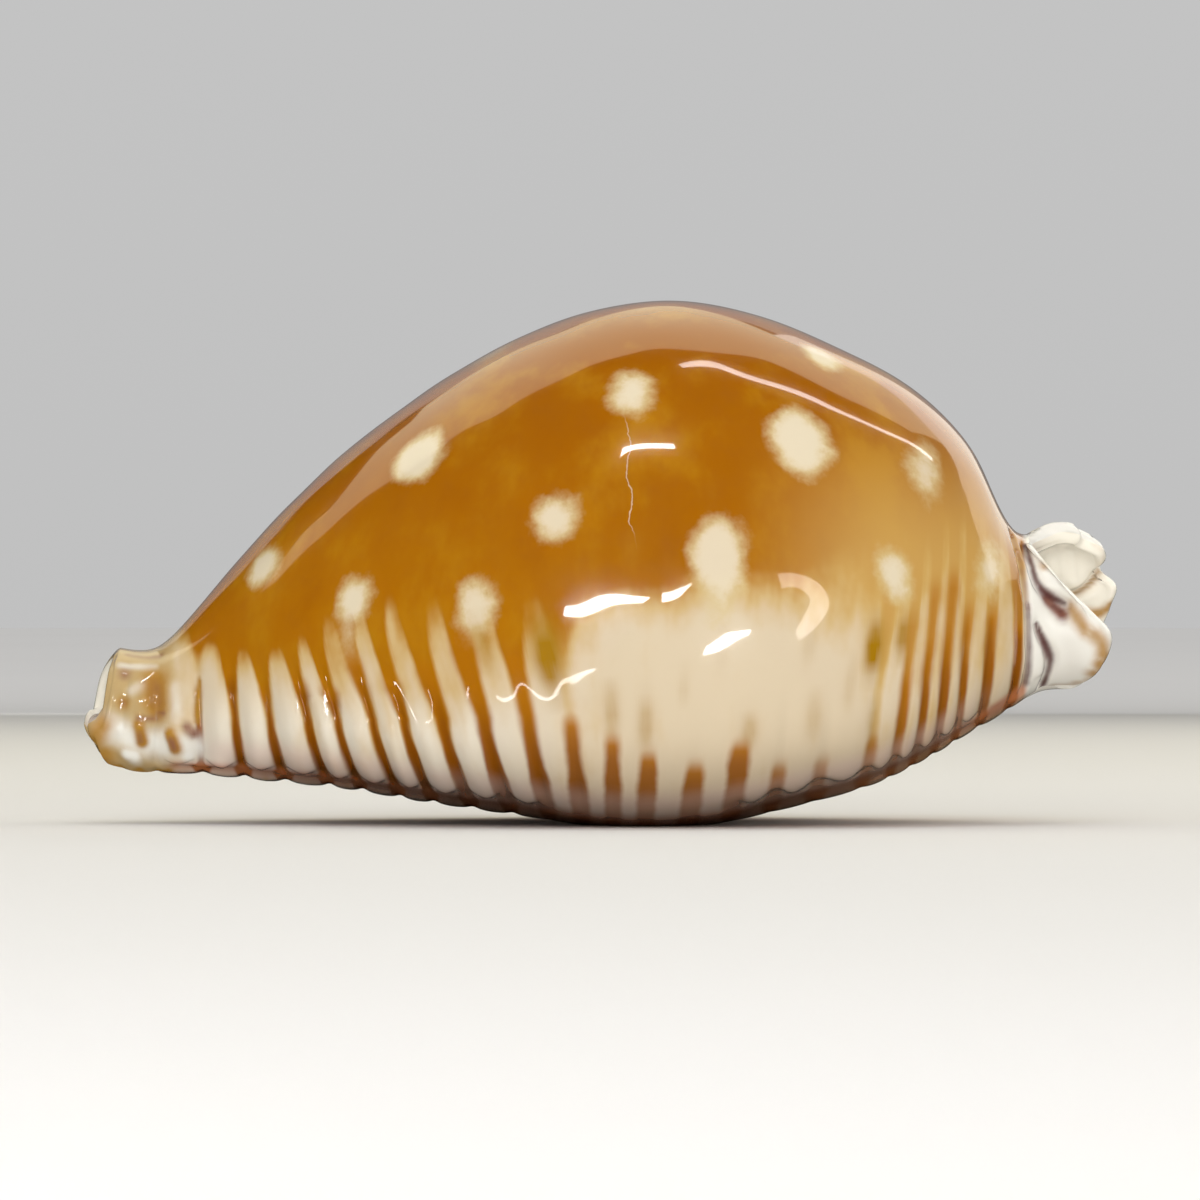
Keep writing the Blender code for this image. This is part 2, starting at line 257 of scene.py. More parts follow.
    def angle_at(self, turn: Array, outer_edge: Array, inner_edge: Array) -> Array:
        """The angle round the oval at a turn, with the turns closer together near the slot.

        Args:
            turn: The turn round the section, of which 1 to 5 lie on the oval.
            outer_edge: The angle at the outer lip.
            inner_edge: The angle at the inner lip.

        Returns:
            Angles in radians, from the outer lip over the back to the inner lip.
        """
        near_slot = np.clip(turn - 1, 0, 1) ** self.slot_crowding
        far_slot = np.clip(5 - turn, 0, 1) ** self.slot_crowding
        angle = np.clip(turn - 2, 0, 2) * np.pi / 2
        angle = np.where(turn < 2, outer_edge * (1 - near_slot), angle)
        return np.where(turn > 4, np.pi + (inner_edge - np.pi) * (1 - far_slot), angle)

    def section(self, x: Array, turn: Array, inside: bool) -> tuple[Array, Array]:
        """The C-shaped section: an oval open at the slot, with quarter rounds for lips.

        Args:
            x: Places along the shell.
            turn: Turns round the section.
            inside: True for the inside of the wall, False for its outside.

        Returns:
            y and z of the points.
        """
        wide, low, high, level = self.half_width(x), self.base(x), self.back(x), self.widest(x)
        middle = self.middle(x)
        edges = self.edge_angles(x, wide)
        lip_floors = [self.oval(edge, wide, low, high, middle, level)[1] for edge in edges]
        if inside:
            wide, low = wide - self.side_wall(x), low + self.base_wall(x)
            high = high - self.back_wall(x)
            edges = self.edge_angles(x, wide)
        y, z = self.oval(self.angle_at(turn, *edges), wide, low, high, middle, level)
        sides = ((1, edges[0], self.outer_lip(x), lip_floors[0], turn),
                 (-1, edges[1], self.inner_lip(x), lip_floors[1], 6 - turn))
        for side, edge, radius, floor, quarter in sides:
            swing = np.clip(quarter, 0, 1) * np.pi / 2
            slot_y = self.slot(x) + side * self.half_gap(x)
            slot_z = floor + self.lip_height * radius
            end_y, end_z = self.oval(edge, wide, low, high, middle, level)
            y = np.where(quarter < 1, end_y + (slot_y - end_y) * np.cos(swing), y)
            z = np.where(quarter < 1, slot_z + (end_z - slot_z) * np.sin(swing), z)
        return y, z

    def outward(self, x: Array, turn: Array) -> tuple[Array, Array]:
        """The direction square to the outside of a section, by its slope across the turn."""
        before = self.section(x, turn - self.slope_reach, False)
        after = self.section(x, turn + self.slope_reach, False)
        dy, dz = after[0] - before[0], after[1] - before[1]
        length = np.hypot(dy, dz) + TINY
        return dz / length, -dy / length

    def station(self, place: Array, turn: Array) -> tuple[Array, Array]:
        """Where a station reads the outlines at each turn, and where it really lies in X.

        The lean is a slope times the tanh of the height above the widest line. Past the end
        zones a station stretches in proportion towards the rim at its turn.

        Args:
            place: The station's place at mid height, as a column.
            turn: Turns round the section, as a row.

        Returns:
            The place to read the outlines at, and the real place along X.
        """
        high, low, level = self.back(place), self.base(place), self.widest(place)
        rise = np.sin(np.clip(turn - 2, -1, 3) * np.pi / 2)
        rise = np.where(rise > 0, (high - level) * rise, (level - low) * rise)
        read = place + self.lean(place) * self.lean_reach * np.tanh(rise / self.lean_reach)
        shoulder = self.rear_shoulder(turn) * step(read, self.shoulder_start, self.rear_zone)

        part = (place - self.front_zone) / (-self.last_place - self.front_zone)
        stretched = self.front_zone + part * (self.front_rim(turn) - self.front_zone)
        read = np.where(place < self.front_zone, stretched, read)

        part = (place - self.rear_zone) / (self.last_place - self.rear_zone)
        whole = np.broadcast_to(self.rear_shoulder(turn), read.shape)
        stretched = self.rear_zone + part * (self.rear_rim(turn) - whole - self.rear_zone)
        read = np.where(place > self.rear_zone, stretched, read)
        shoulder = np.where(place > self.rear_zone, whole, shoulder)
        return read, read + shoulder


@dataclass(frozen=True)
class Ribs:
    """The ribs round the margin, the grooves between them and the teeth of the lips."""

    count: SmoothLine = line(
        (-28.3, -2.0), (-25.7, -1.0), (-23.0, 0.0), (-20.85, 1.0), (-18.8, 2.0),
        (-16.6, 3.0), (-14.9, 4.0), (-12.9, 5.0), (-11.1, 6.0), (-8.95, 7.0), (-6.6, 8.0),
        (-4.1, 9.0), (-1.7, 10.0), (0.6, 11.0), (2.8, 12.0), (5.5, 13.0), (8.0, 14.0),
        (10.4, 15.0), (12.9, 16.0), (15.6, 17.0), (20.6, 21.0), (23.0, 23.0), (24.2, 24.0))
    depth: SmoothLine = line(
        (-28.5, 0.24), (-22.0, 0.52), (-12.0, 0.50), (-5.0, 0.36), (0.0, 0.20), (6.0, 0.10),
        (12.0, 0.16), (16.0, 0.26), (20.0, 0.34), (24.0, 0.28))
    tooth_depth: float = 0.45
    narrow: float = 0.13
    narrow_share: float = 0.6
    up_flank: Rise = Rise(8.0, 3.0)
    off_floor: Rise = Rise(-0.05, 0.5)
    past_margin: Rise = Rise(1.3, 1.5)
    across_base: Rise = Rise(1.5, 1.7)
    base_loss: float = 0.6
    over_lip: Rise = Rise(2.0, 2.5)
    front_end: Rise = Rise(-29.0, -27.0)
    rear_end: Rise = Rise(24.2, 23.3)
    ledge_depth: float = 0.30
    ledge_turn: float = 1.36
    ledge_wave: float = 0.10
    ledge_width: float = 0.07
    ledge_inner: Rise = Rise(1.85, 1.62)
    ledge_front: Rise = Rise(-26.5, -23.5)
    ledge_rear: Rise = Rise(23.0, 20.0)
    knob_height: float = 0.20
    knob_level: float = 3.0
    knob_reach: float = 1.8
    knob_power: float = 1.3
    knob_turn: float = 1.7
    knob_front: Rise = Rise(-27.0, -23.0)
    knob_rear: Rise = Rise(-4.0, -12.0)

    def profile(self, count: Array) -> Array:
        """How far into a groove a place is: a narrow bell at each whole number on a wide wave."""
        apart = np.abs(count - np.round(count))
        wave = 0.5 + 0.5 * np.cos(2 * np.pi * count)
        bell = np.exp(-((apart / self.narrow) ** 2))
        return self.narrow_share * bell + (1 - self.narrow_share) * wave

    def crest(self, count: Array) -> Array:
        """Rises from 0 in a groove to 1 on the crest of a rib, as half a cosine."""
        return 0.5 - 0.5 * np.cos(2 * np.pi * count)

    def dent(self, form: ShellForm, x: Array, turn: Array, height: Array, count: Array) -> Array:
        """How far the surface lies below the tops of the ribs.

        At the margin and on the lips it is the profile of the grooves times their depth. Under
        the ends of the ribs a shallow channel runs along the base, and its edge swings out at
        each crest, so that the ribs end in round lobes. The deeper of the two counts. The
        crests of the front ribs swell into knobs at the margin.

        Args:
            form: The shell's form.
            x: Places along the shell.
            turn: Turns round the section.
            height: Heights of the same places.
            count: The number of the groove at each place.

        Returns:
            Depths in millimetres, below nothing on the knobs.
        """
        above, inward = height - form.base(x), np.abs(turn - TOP_TURN)
        crest, off_floor = self.crest(count), self.off_floor(form.base(x))
        below_top = self.depth(x) * self.up_flank(above)
        on_base = below_top * off_floor * (1 - self.base_loss * self.across_base(inward))
        margin = below_top + (on_base - below_top) * self.past_margin(inward)
        on_lip = self.over_lip(inward) * self.tooth_depth
        ends = self.front_end(x) * self.rear_end(x)
        grooves = self.profile(count) * np.maximum(margin, on_lip) * ends

        edge = self.ledge_turn + self.ledge_wave * crest
        ledge = step(inward, edge, edge + self.ledge_width) * self.ledge_inner(inward)
        ledge = ledge * self.ledge_front(x) * self.ledge_rear(x) * off_floor

        knobs = crest**self.knob_power * hump(above, self.knob_level, self.knob_reach)
        knobs = knobs * self.knob_front(x) * self.knob_rear(x) * (inward < self.knob_turn)
        return np.maximum(grooves, ledge * self.ledge_depth) - knobs * self.knob_height


@dataclass(frozen=True)
class Mark:
    """A small bump, or a furrow where its height is below nothing, along a short path.

    Attributes:
        path: Places on the side of the shell, as x, height and, if not 1, share of the reach.
        height: How far it stands out, in millimetres.
        reach: The distance at which it has fallen to about a third.
        side: The side of the shell it lies on.
    """

    path: Path
    height: float
    reach: float
    side: Side = Side.INNER_LIP


@dataclass(frozen=True)
class Dab:
    """A soft patch of a stain along a short path on a side of the shell."""

    path: Path
    reach: float
    amount: float = 1.0
    side: Side = Side.INNER_LIP


@dataclass(frozen=True)
class Spot:
    """A pale spot: its place, half its width, its reach up and down, and its side."""

    x: float
    z: float
    half_width: float
    up: float
    down: float
    strength: float = 1.0
    side: Side = Side.INNER_LIP


@dataclass(frozen=True)
class Streak:
    """A short brown streak along the grooves on the seen side, apart from the main lines."""

    x: float
    top: float
    foot: float
    half_width: float
    darkness: float


@dataclass
class Skin:
    """The grid of the shell's surface: rows along X, columns round each section."""

    points: Array
    turns: Array
    places: Array
    outside_columns: int

    @property
    def normals(self) -> Array:
        """Directions square to the surface: the way round crossed with the way along."""
        along = np.gradient(self.points, axis=0)
        around = np.roll(self.points, -1, axis=1) - np.roll(self.points, 1, axis=1)
        square = np.cross(around, along)
        return square / (np.linalg.norm(square, axis=2, keepdims=True) + TINY)

    def columns_of(self, side: Side) -> slice:
        """The columns of the outside, or those of the inside for the far wall."""
        first, last = (None, self.outside_columns), (self.outside_columns, None)
        return slice(*(last if side is Side.FAR_WALL else first))

    def on_side(self, x: float, z: float, side: Side) -> Array:
        """The point of a side that is nearest to a place and height, seen from the front.

        Args:
            x: The place along the shell.
            z: The height.
            side: The side of the shell to look at.

        Returns:
            The point's x, y and z.
        """
        columns = self.columns_of(side)
        points = self.points[:, columns]
        turns = np.broadcast_to(self.turns[columns], points.shape[:2])
        hidden = turns < TOP_TURN if side is Side.INNER_LIP else turns > TOP_TURN
        miss = (points[..., 0] - x) ** 2 + (points[..., 2] - z) ** 2
        miss = np.where(hidden, np.inf, miss)
        return points.reshape(-1, 3)[np.argmin(miss)].copy()

    def nearness(self, path: Path, reach: float, side: Side) -> Array:
        """A bell round a smooth path on a side: 1 on it, and about a third at its reach.

        The path is a smooth line through its places, cut into straight pieces. The distance
        to it is taken over the path's share of the reach there.

        Args:
            path: Places on that side, as x, height and share. One place alone is a dot.
            reach: The distance at which the bell has fallen to about a third.
            side: The side of the shell it lies on.

        Returns:
            Shares from 0 to 1, one for each point of the grid.
        """
        knots = np.array([(*place, 1.0)[:3] for place in path])
        if len(knots) > 2:
            along = np.arange(len(knots), dtype=float)
            fine = np.linspace(0, len(knots) - 1, 3 * len(knots) - 2)
            lines = [SmoothLine(tuple(zip(along, values))) for values in knots.T]
            knots = np.stack([one(fine) for one in lines], axis=1)
        corners = [np.array([x, self.on_side(x, z, side)[1], z]) for x, z, _ in knots]
        wide = reach * knots[:, 2]
        columns = self.columns_of(side)
        points = self.points[:, columns]
        best = np.linalg.norm(points - corners[0], axis=2) / wide[0]
        for i, (start, end) in enumerate(zip(corners, corners[1:])):
            way = end - start
            share = np.clip((points - start) @ way / (way @ way + TINY), 0, 1)
            apart = np.linalg.norm(points - start - share[..., None] * way, axis=2)
            best = np.minimum(best, apart / (wide[i] + share * (wide[i + 1] - wide[i])))
        bell = np.zeros(self.points.shape[:2])
        bell[:, columns] = np.exp(-(best**2))
        return bell


@dataclass
class Markings:
    """The colour pattern of the shell as fields over its skin: spots, lines and veil."""

    seen_spots: tuple[Spot, ...] = (
        Spot(1.8, 24.5, 1.30, 1.45, 1.45), Spot(11.3, 22.1, 1.85, 2.1, 2.1),
        Spot(-10.3, 20.9, 1.6, 1.75, 1.7), Spot(-2.65, 17.65, 1.25, 1.3, 1.25, 0.95),
        Spot(-19.2, 14.8, 1.15, 1.25, 1.2), Spot(-14.0, 12.9, 1.15, 1.25, 1.3),
        Spot(-6.9, 12.2, 1.1, 1.35, 1.9, 0.95), Spot(6.7, 15.3, 1.6, 1.9, 3.4, 0.95),
        Spot(16.5, 14.1, 0.85, 1.7, 1.2), Spot(18.5, 20.3, 0.9, 1.9, 1.6, 0.85),
        Spot(22.1, 14.6, 0.8, 1.3, 1.6, 0.9), Spot(12.6, 26.7, 1.25, 1.1, 1.2, 0.9),
        Spot(-6.4, 27.0, 1.2, 1.3, 1.3, 0.30),
        Spot(-14.2, 10.9, 0.45, 1.2, 1.6, 0.55), Spot(21.3, 22.0, 0.7, 1.2, 1.2, 0.45))
    other_spots: tuple[Spot, ...] = tuple(Spot(*given, Side.OUTER_LIP) for given in (
        (-1.6, 26.9, 1.5, 1.6, 1.6, 0.9), (8.3, 27.2, 1.4, 1.5, 1.5, 1.0),
        (-9.5, 23.6, 1.5, 1.7, 1.7, 1.0), (2.8, 24.2, 1.7, 1.8, 1.8, 1.0),
        (13.8, 24.4, 1.5, 1.6, 1.6, 1.0), (-15.6, 18.7, 1.3, 1.4, 1.4, 0.9),
        (-4.6, 19.0, 1.5, 1.6, 1.6, 1.0), (8.8, 18.9, 1.6, 1.8, 1.8, 1.0),
        (18.4, 18.4, 1.2, 1.4, 1.4, 0.9), (-20.3, 13.4, 1.0, 1.2, 1.2, 0.9),
        (-11.3, 13.6, 1.2, 1.3, 1.5, 1.0), (0.6, 13.6, 1.3, 1.5, 2.0, 1.0),
        (13.2, 12.9, 1.3, 1.6, 1.8, 1.0), (20.9, 13.9, 0.8, 1.2, 1.3, 0.9)))
    line_tops: tuple[float, ...] = (
        8.3, 9.7, 8.2, 9.1, 8.5, 10.5, 9.4, 10.0, 11.7, 10.6, 7.1, 5.8, 4.8, 4.2,
        5.4, 4.2, 4.5, 5.9, 12.9, 14.6, 15.2, 13.4, 13.0, 12.0)
    line_tops_wide: tuple[float, ...] = (
        0.20, 0.22, 0.34, 0.38, 0.50, 0.48, 0.48, 0.50, 0.62, 0.42, 0.40, 0.42, 0.48, 0.50,
        0.50, 0.48, 0.40, 0.30, 0.34, 0.32, 0.32, 0.28, 0.24, 0.22)
    line_middles_wide: tuple[float, ...] = (
        0.12, 0.13, 0.14, 0.14, 0.15, 0.17, 0.21, 0.28, 0.40, 0.40, 0.42, 0.42, 0.52, 0.55,
        0.58, 0.50, 0.40, 0.28, 0.30, 0.30, 0.30, 0.26, 0.24, 0.20)
    line_feet_wide: tuple[float, ...] = (
        0.22, 0.30, 0.30, 0.30, 0.28, 0.28, 0.30, 0.42, 0.60, 0.66, 0.70, 0.62, 0.62, 0.66,
        0.62, 0.50, 0.42, 0.36, 0.30, 0.26, 0.26, 0.24, 0.22, 0.20)
    line_height: float = 4.5
    line_foot: float = 1.9
    line_lift: float = 6.0
    line_over: float = 0.4
    line_taper: float = 0.3
    taper_height: float = 2.0
    fade_height: float = 2.2
    first_line: float = -24.3
    last_line: float = 23.8
    least_crowding: float = 0.1
    top_spread: float = 0.14
    width_spread: float = 0.2
    dark_spread: float = 0.1
    base_width: float = 0.26
    slot_loss: float = 0.13
    to_slot: Rise = Rise(1.55, 1.9)
    past_margin: Rise = Rise(1.5, 1.62)
    pale_above: Rise = Rise(3.6, 7.5)
    pale_share: float = 0.55
    middle_front: Rise = Rise(-6.0, -2.0)
    middle_rear: Rise = Rise(19.0, 15.0)
    near_foot: Rise = Rise(5.5, 2.5)
    line_sharpness: float = 0.6
    foot_sharpness: float = 1.2
    middle_softness: float = 0.9
    line_darkness: tuple[float, ...] = (
        0.95, 1.0, 1.0, 1.0, 1.0, 1.0, 0.95, 0.95, 0.9, 0.85, 0.8, 0.75, 0.70, 0.65,
        0.70, 0.55, 0.45, 0.45, 0.55, 0.75, 0.8, 0.75, 0.8, 0.9)
    streaks: tuple[Streak, ...] = (
        Streak(-2.45, 13.0, 6.4, 0.66, 1.0), Streak(-5.6, 12.4, 8.2, 0.50, 0.45),
        Streak(0.6, 8.8, 4.4, 0.42, 0.45), Streak(2.5, 8.2, 3.6, 0.45, 0.42),
        Streak(4.5, 9.4, 6.6, 0.30, 0.16), Streak(8.4, 7.0, 3.8, 0.45, 0.42),
        Streak(11.2, 12.4, 8.6, 0.40, 0.20), Streak(12.0, 8.2, 4.4, 0.45, 0.28),
        Streak(13.9, 10.6, 5.8, 0.35, 0.22), Streak(14.95, 12.6, 7.8, 0.52, 1.0),
        Streak(16.6, 12.6, 9.0, 0.40, 0.8), Streak(15.4, 7.8, 4.6, 0.35, 0.28),
        Streak(6.4, 12.0, 8.4, 0.40, 0.16))
    streak_gain: float = 1.35
    veil_full: SmoothLine = line(
        (-28.0, 9.0), (-25.0, 8.4), (-23.0, 6.6), (-21.0, 5.4), (-18.0, 5.2), (-15.0, 5.0),
        (-11.0, 5.0), (-7.0, 5.6), (-3.5, 7.4), (-1.5, 9.4), (2.0, 10.8), (6.0, 11.4),
        (10.0, 10.8), (14.0, 9.4), (18.0, 7.8), (22.0, 8.0))
    veil_gone: SmoothLine = line(
        (-28.0, 15.0), (-25.0, 13.6), (-23.0, 11.2), (-21.0, 10.4), (-18.0, 10.8),
        (-15.0, 12.6), (-11.0, 13.6), (-7.0, 13.8), (-3.5, 13.6), (-1.5, 13.6), (2.0, 14.0),
        (6.0, 14.8), (10.0, 15.2), (14.0, 16.6), (18.0, 18.0), (22.0, 19.0))
    veil_amount: SmoothLine = line(
        (-28.0, 0.55), (-24.8, 0.60), (-22.6, 0.90), (-18.0, 0.92), (-8.0, 0.90), (-2.0, 0.95),
        (4.0, 1.0), (12.0, 1.0), (16.0, 0.82), (20.0, 0.72), (22.0, 0.86), (24.2, 0.95))
    veil_power: float = 1.35
    veil_front_power: float = 1.1
    veil_front: Rise = Rise(-9.0, -16.0)
    veil_bound: float = 0.10
    veil_narrowing: float = 0.70
    veil_beak: Rise = Rise(-21.4, -23.4)
    veil_beak_share: float = 0.38
    veil_edge: tuple[float, float] = (-0.22, 0.30)
    blotch_front: Rise = Rise(-4.5, -0.5)
    blotch_rear: Rise = Rise(18.5, 12.5)
    pale_line: SmoothLine = line(
        (16.3, 2.05), (17.5, 1.5), (18.35, 1.72), (19.8, 1.35), (21.2, 1.55), (23.3, 1.3))
    pale_line_foot: float = 16.2
    pale_line_top: float = 23.4
    pale_line_end: float = 1.2
    seed: int = 7

    def spot_field(self, skin: Skin) -> tuple[Array, Array]:
        """How far inside the nearest spot each point is, and how strong that spot is.

        A spot is an egg shape: the distance from its middle over its reach that way, taken
        from 1 and turned into millimetres by the spot's half width.

        Args:
            skin: The shell's skin.

        Returns:
            Depths inside a spot in millimetres, below nothing outside, and strengths.
        """
        best = np.full(skin.points.shape[:2], -np.inf)
        strength = np.zeros_like(best)
        for spot in self.seen_spots + self.other_spots:
            centre = skin.on_side(spot.x, spot.z, spot.side)
            apart = skin.points - centre
            across = np.hypot(apart[..., 1], apart[..., 2])
            reach = np.where(apart[..., 2] > 0, spot.up, spot.down)
            inside = 1 - np.hypot(apart[..., 0] / spot.half_width, across / reach)
            inside = inside * spot.half_width
            strength = np.where(inside > best, spot.strength, strength)
            best = np.maximum(best, inside)
        return best, strength

    def line_values(self, number: Array, near: Array) -> list[Array]:
        """Looks up the tables of the lines, and varies them for the side that isn't seen.

        Args:
            number: The number of the nearest line, for each row of the skin.
            near: Whether each column lies on the seen side.

        Returns:
            Tops, widths at the top, the foot and the middle, and darknesses.
        """
        rng = np.random.default_rng(self.seed)
        found = []
        for seen, spread in ((self.line_tops, self.top_spread),
                             (self.line_tops_wide, self.width_spread),
                             (self.line_feet_wide, self.width_spread),
                             (self.line_middles_wide, self.width_spread),
                             (self.line_darkness, self.dark_spread)):
            values = np.array(seen)
            other = np.roll(values, 1) * (1 + spread * rng.uniform(-1, 1, len(values)))
            found.append(np.where(near, values[number][:, None], other[number][:, None]))
        return found

    def line_field(self, skin: Skin, form: ShellForm, ribs: Ribs) -> tuple[Array, Array]:
        """How far inside a brown line each point is, and how dark the line is there.

        A line is half as wide as its width at that height, less the distance from the middle
        of its groove. Its width runs from its foot over its middle to its top, where it
        tapers and fades out.

        Args:
            skin: The shell's skin.
            form: The shell's form.
            ribs: The ribs and grooves.

        Returns:
            Depths inside a line in millimetres, and darknesses from 0 to 1.
        """
        x, z = skin.points[..., 0], skin.points[..., 2]
        above, inward = z - form.base(x), np.abs(skin.turns - TOP_TURN)
        count, half = ribs.count(skin.places), 0.05
        crowding = (ribs.count(skin.places + half) - ribs.count(skin.places - half)) / (2 * half)
        pitch = 1 / np.maximum(crowding, self.least_crowding)
        number = np.clip(np.round(count), 0, len(self.line_tops) - 1).astype(int)
        away = np.abs(count - number) * pitch
        top, at_top, at_foot, at_middle, dark = self.line_values(number, skin.turns > TOP_TURN)

        rise = (above - self.line_height) / np.maximum(top - form.base(x) - self.line_lift, 1.0)
        wide = at_middle + (at_top - at_middle) * step(rise, 0.0, 1.0)
        wide = wide + (at_foot - at_middle) * step(above, self.line_height, self.line_foot)
        on_base = pitch[:, None] * (self.base_width - self.slot_loss * self.to_slot(inward))
        wide = wide + (on_base - wide) * self.past_margin(inward)
        left = top + self.line_over - z
        taper = 1 - self.line_taper * step(left, self.taper_height, 0.0)
        live = (skin.places > self.first_line) & (skin.places < self.last_line)
        inside = wide * taper - away[:, None] - 1.0 * (left < 0)
        inside = np.where(live[:, None], inside, -1.0)
        softness = self.middle_softness * self.middle_front(x) * self.middle_rear(x)
        sharpness = (self.foot_sharpness - softness) * self.near_foot(above)

        dark = dark * (1 - self.pale_share * self.pale_above(above))
        return inside * (self.line_sharpness + sharpness), dark * step(left, 0.0, self.fade_height)

    def streak_field(self, skin: Skin) -> Array:
        """The share of the soft streaks: a bell across each, times a rise and a fall in height.

        Args:
            skin: The shell's skin.

        Returns:
            Shares from 0 to 1, for the seen side alone.
        """
        z = skin.points[..., 2]
        share = np.zeros(z.shape)
        for streak in self.streaks:
            across = hump(skin.places, streak.x, streak.half_width)[:, None]
            middle = (streak.top + streak.foot) / 2
            along = step(z, streak.foot, middle) * step(z, streak.top, middle)
            body = np.minimum(self.streak_gain * across * along, 1)
            share = np.maximum(share, streak.darkness * body)
        return share * (skin.turns > TOP_TURN)

    def veil_field(self, skin: Skin, ribs: Ribs) -> Array:
        """The share of cream over the amber: full near the margin, fading towards the back.

        The height where it fades rises on the crest of each rib and drops in the groove.

        Args:
            skin: The shell's skin.
            ribs: The ribs and grooves.

        Returns:
            Shares from 0 to 1.
        """
        x, z = skin.points[..., 0], skin.points[..., 2]
        rise = np.clip((z - self.veil_full(x)) / (self.veil_gone(x) - self.veil_full(x)), 0, 1)
        crest = ribs.crest(ribs.count(skin.places))[:, None]
        fade = rise ** (self.veil_power + self.veil_front_power * self.veil_front(x))
        bound = self.veil_bound + self.veil_narrowing * fade
        bound = bound - self.veil_beak_share * self.veil_beak(x)
        ribbed = step(crest, bound + self.veil_edge[0], bound + self.veil_edge[1]) * (1 - fade)
        in_blotch = self.blotch_front(x) * self.blotch_rear(x)
        return self.veil_amount(x) * (ribbed + (1 - rise - ribbed) * in_blotch)

    def pale_line_field(self, skin: Skin) -> tuple[Array, Array]:
        """How far each point lies along the shell from the thin pale line down the back.

        Args:
            skin: The shell's skin.

        Returns:
            Distances in millimetres, and the crack's share, which fades at its two ends.
        """
        x, z = skin.points[..., 0], skin.points[..., 2]
        share = step(z, self.pale_line_foot, self.pale_line_foot + self.pale_line_end)
        share = share * step(z, self.pale_line_top, self.pale_line_top - self.pale_line_end)
        return x - self.pale_line(z), share * (skin.turns > TOP_TURN)


@dataclass
class ShellRelief:
    """The small forms of the two ends: knobs, creases, the rear canal's lobes and its pit."""

    marks: tuple[Mark, ...] = (
        Mark(((-26.5, 5.6), (-26.35, 4.7)), 0.22, 0.38),
        Mark(((-24.7, 5.15), (-24.45, 4.35)), 0.24, 0.38),
        Mark(((-23.5, 5.35),), 0.16, 0.35),
        Mark(((-27.6, 5.45),), 0.16, 0.50),
        Mark(((-28.0, 9.6), (-28.25, 7.7), (-28.6, 6.1), (-29.1, 4.5)), -0.12, 0.20),
        Mark(((-25.3, 8.1), (-25.1, 6.9)), -0.16, 0.90),
        Mark(((-27.5, 8.2), (-27.3, 7.0)), -0.10, 0.45),
        Mark(((-27.0, 3.95), (-24.5, 3.75), (-21.8, 3.5)), 0.20, 0.60),
        Mark(((24.27, 15.97, 0.8), (24.66, 14.82, 0.9), (24.86, 14.05, 1.0), (25.26, 13.39, 1.1),
              (25.69, 13.08, 1.2), (26.45, 12.68, 1.2)), -0.42, 0.30),
        Mark(((25.75, 12.6), (26.25, 12.1)), -0.45, 0.46),
        Mark(((24.85, 11.5, 0.8), (25.05, 11.0, 0.9), (25.31, 10.42, 1.1), (25.6, 9.8, 1.2),
              (25.67, 9.23, 1.1), (25.50, 8.47, 0.9), (25.25, 7.85, 0.8)), -0.34, 0.30),
        Mark(((27.3, 10.6), (27.6, 9.6)), 0.22, 1.10),
        Mark(((25.0, 9.9), (24.95, 8.8)), 0.16, 0.40),
        Mark(((23.6, 16.6), (24.0, 14.8), (24.2, 13.66), (24.34, 12.36), (24.4, 10.8),
              (24.4, 9.5), (24.27, 8.2), (24.07, 7.55)), -0.26, 0.28),
        Mark(((24.8, 14.6), (25.4, 13.0), (26.3, 11.6)), -0.34, 0.34, Side.OUTER_LIP),
        Mark(((24.3, 14.6), (24.5, 12.0), (24.5, 9.6), (24.2, 7.8)), -0.26, 0.30,
             Side.OUTER_LIP),
        Mark(((25.8, 14.7), (27.0, 14.3)), 1.10, 1.35, Side.FAR_WALL),
        Mark(((28.85, 14.6), (28.5, 14.05), (27.85, 13.5), (27.2, 13.2)), -0.65, 0.42,
             Side.FAR_WALL),
        Mark(((28.1, 13.1), (28.4, 13.2)), 0.22, 0.55, Side.FAR_WALL),
        Mark(((26.0, 16.8), (26.2, 14.6)), -0.14, 0.30, Side.FAR_WALL),
        Mark(((27.1, 16.9), (27.3, 14.6)), -0.14, 0.30, Side.FAR_WALL))
    ripple: float = 0.012
    ripple_waves: int = 9
    ripple_pace: tuple[float, float] = (0.7, 1.9)
    off_floor: Rise = Rise(0.3, 1.5)
    seed: int = 11

    def apply(self, skin: Skin) -> None:
        """Moves the outside along its normals by every mark's bell and a fine seeded ripple.

        Args:
            skin: The skin to shape.
        """
        lift = np.zeros(skin.points.shape[:2])
        for mark in self.marks:
            lift += mark.height * skin.nearness(mark.path, mark.reach, mark.side)
        rng = np.random.default_rng(self.seed)
        ways = rng.normal(size=(self.ripple_waves, 3))
        ways /= np.linalg.norm(ways, axis=1, keepdims=True)
        ways *= rng.uniform(*self.ripple_pace, (self.ripple_waves, 1))
        starts = rng.uniform(0, 2 * np.pi, self.ripple_waves)
        ripple = self.ripple * np.sin(skin.points @ ways.T + starts).sum(axis=2) / 2
        ripple[:, skin.outside_columns:] = 0.0
        lift = (lift + ripple) * self.off_floor(skin.points[..., 2])
        skin.points += skin.normals * lift[..., None]


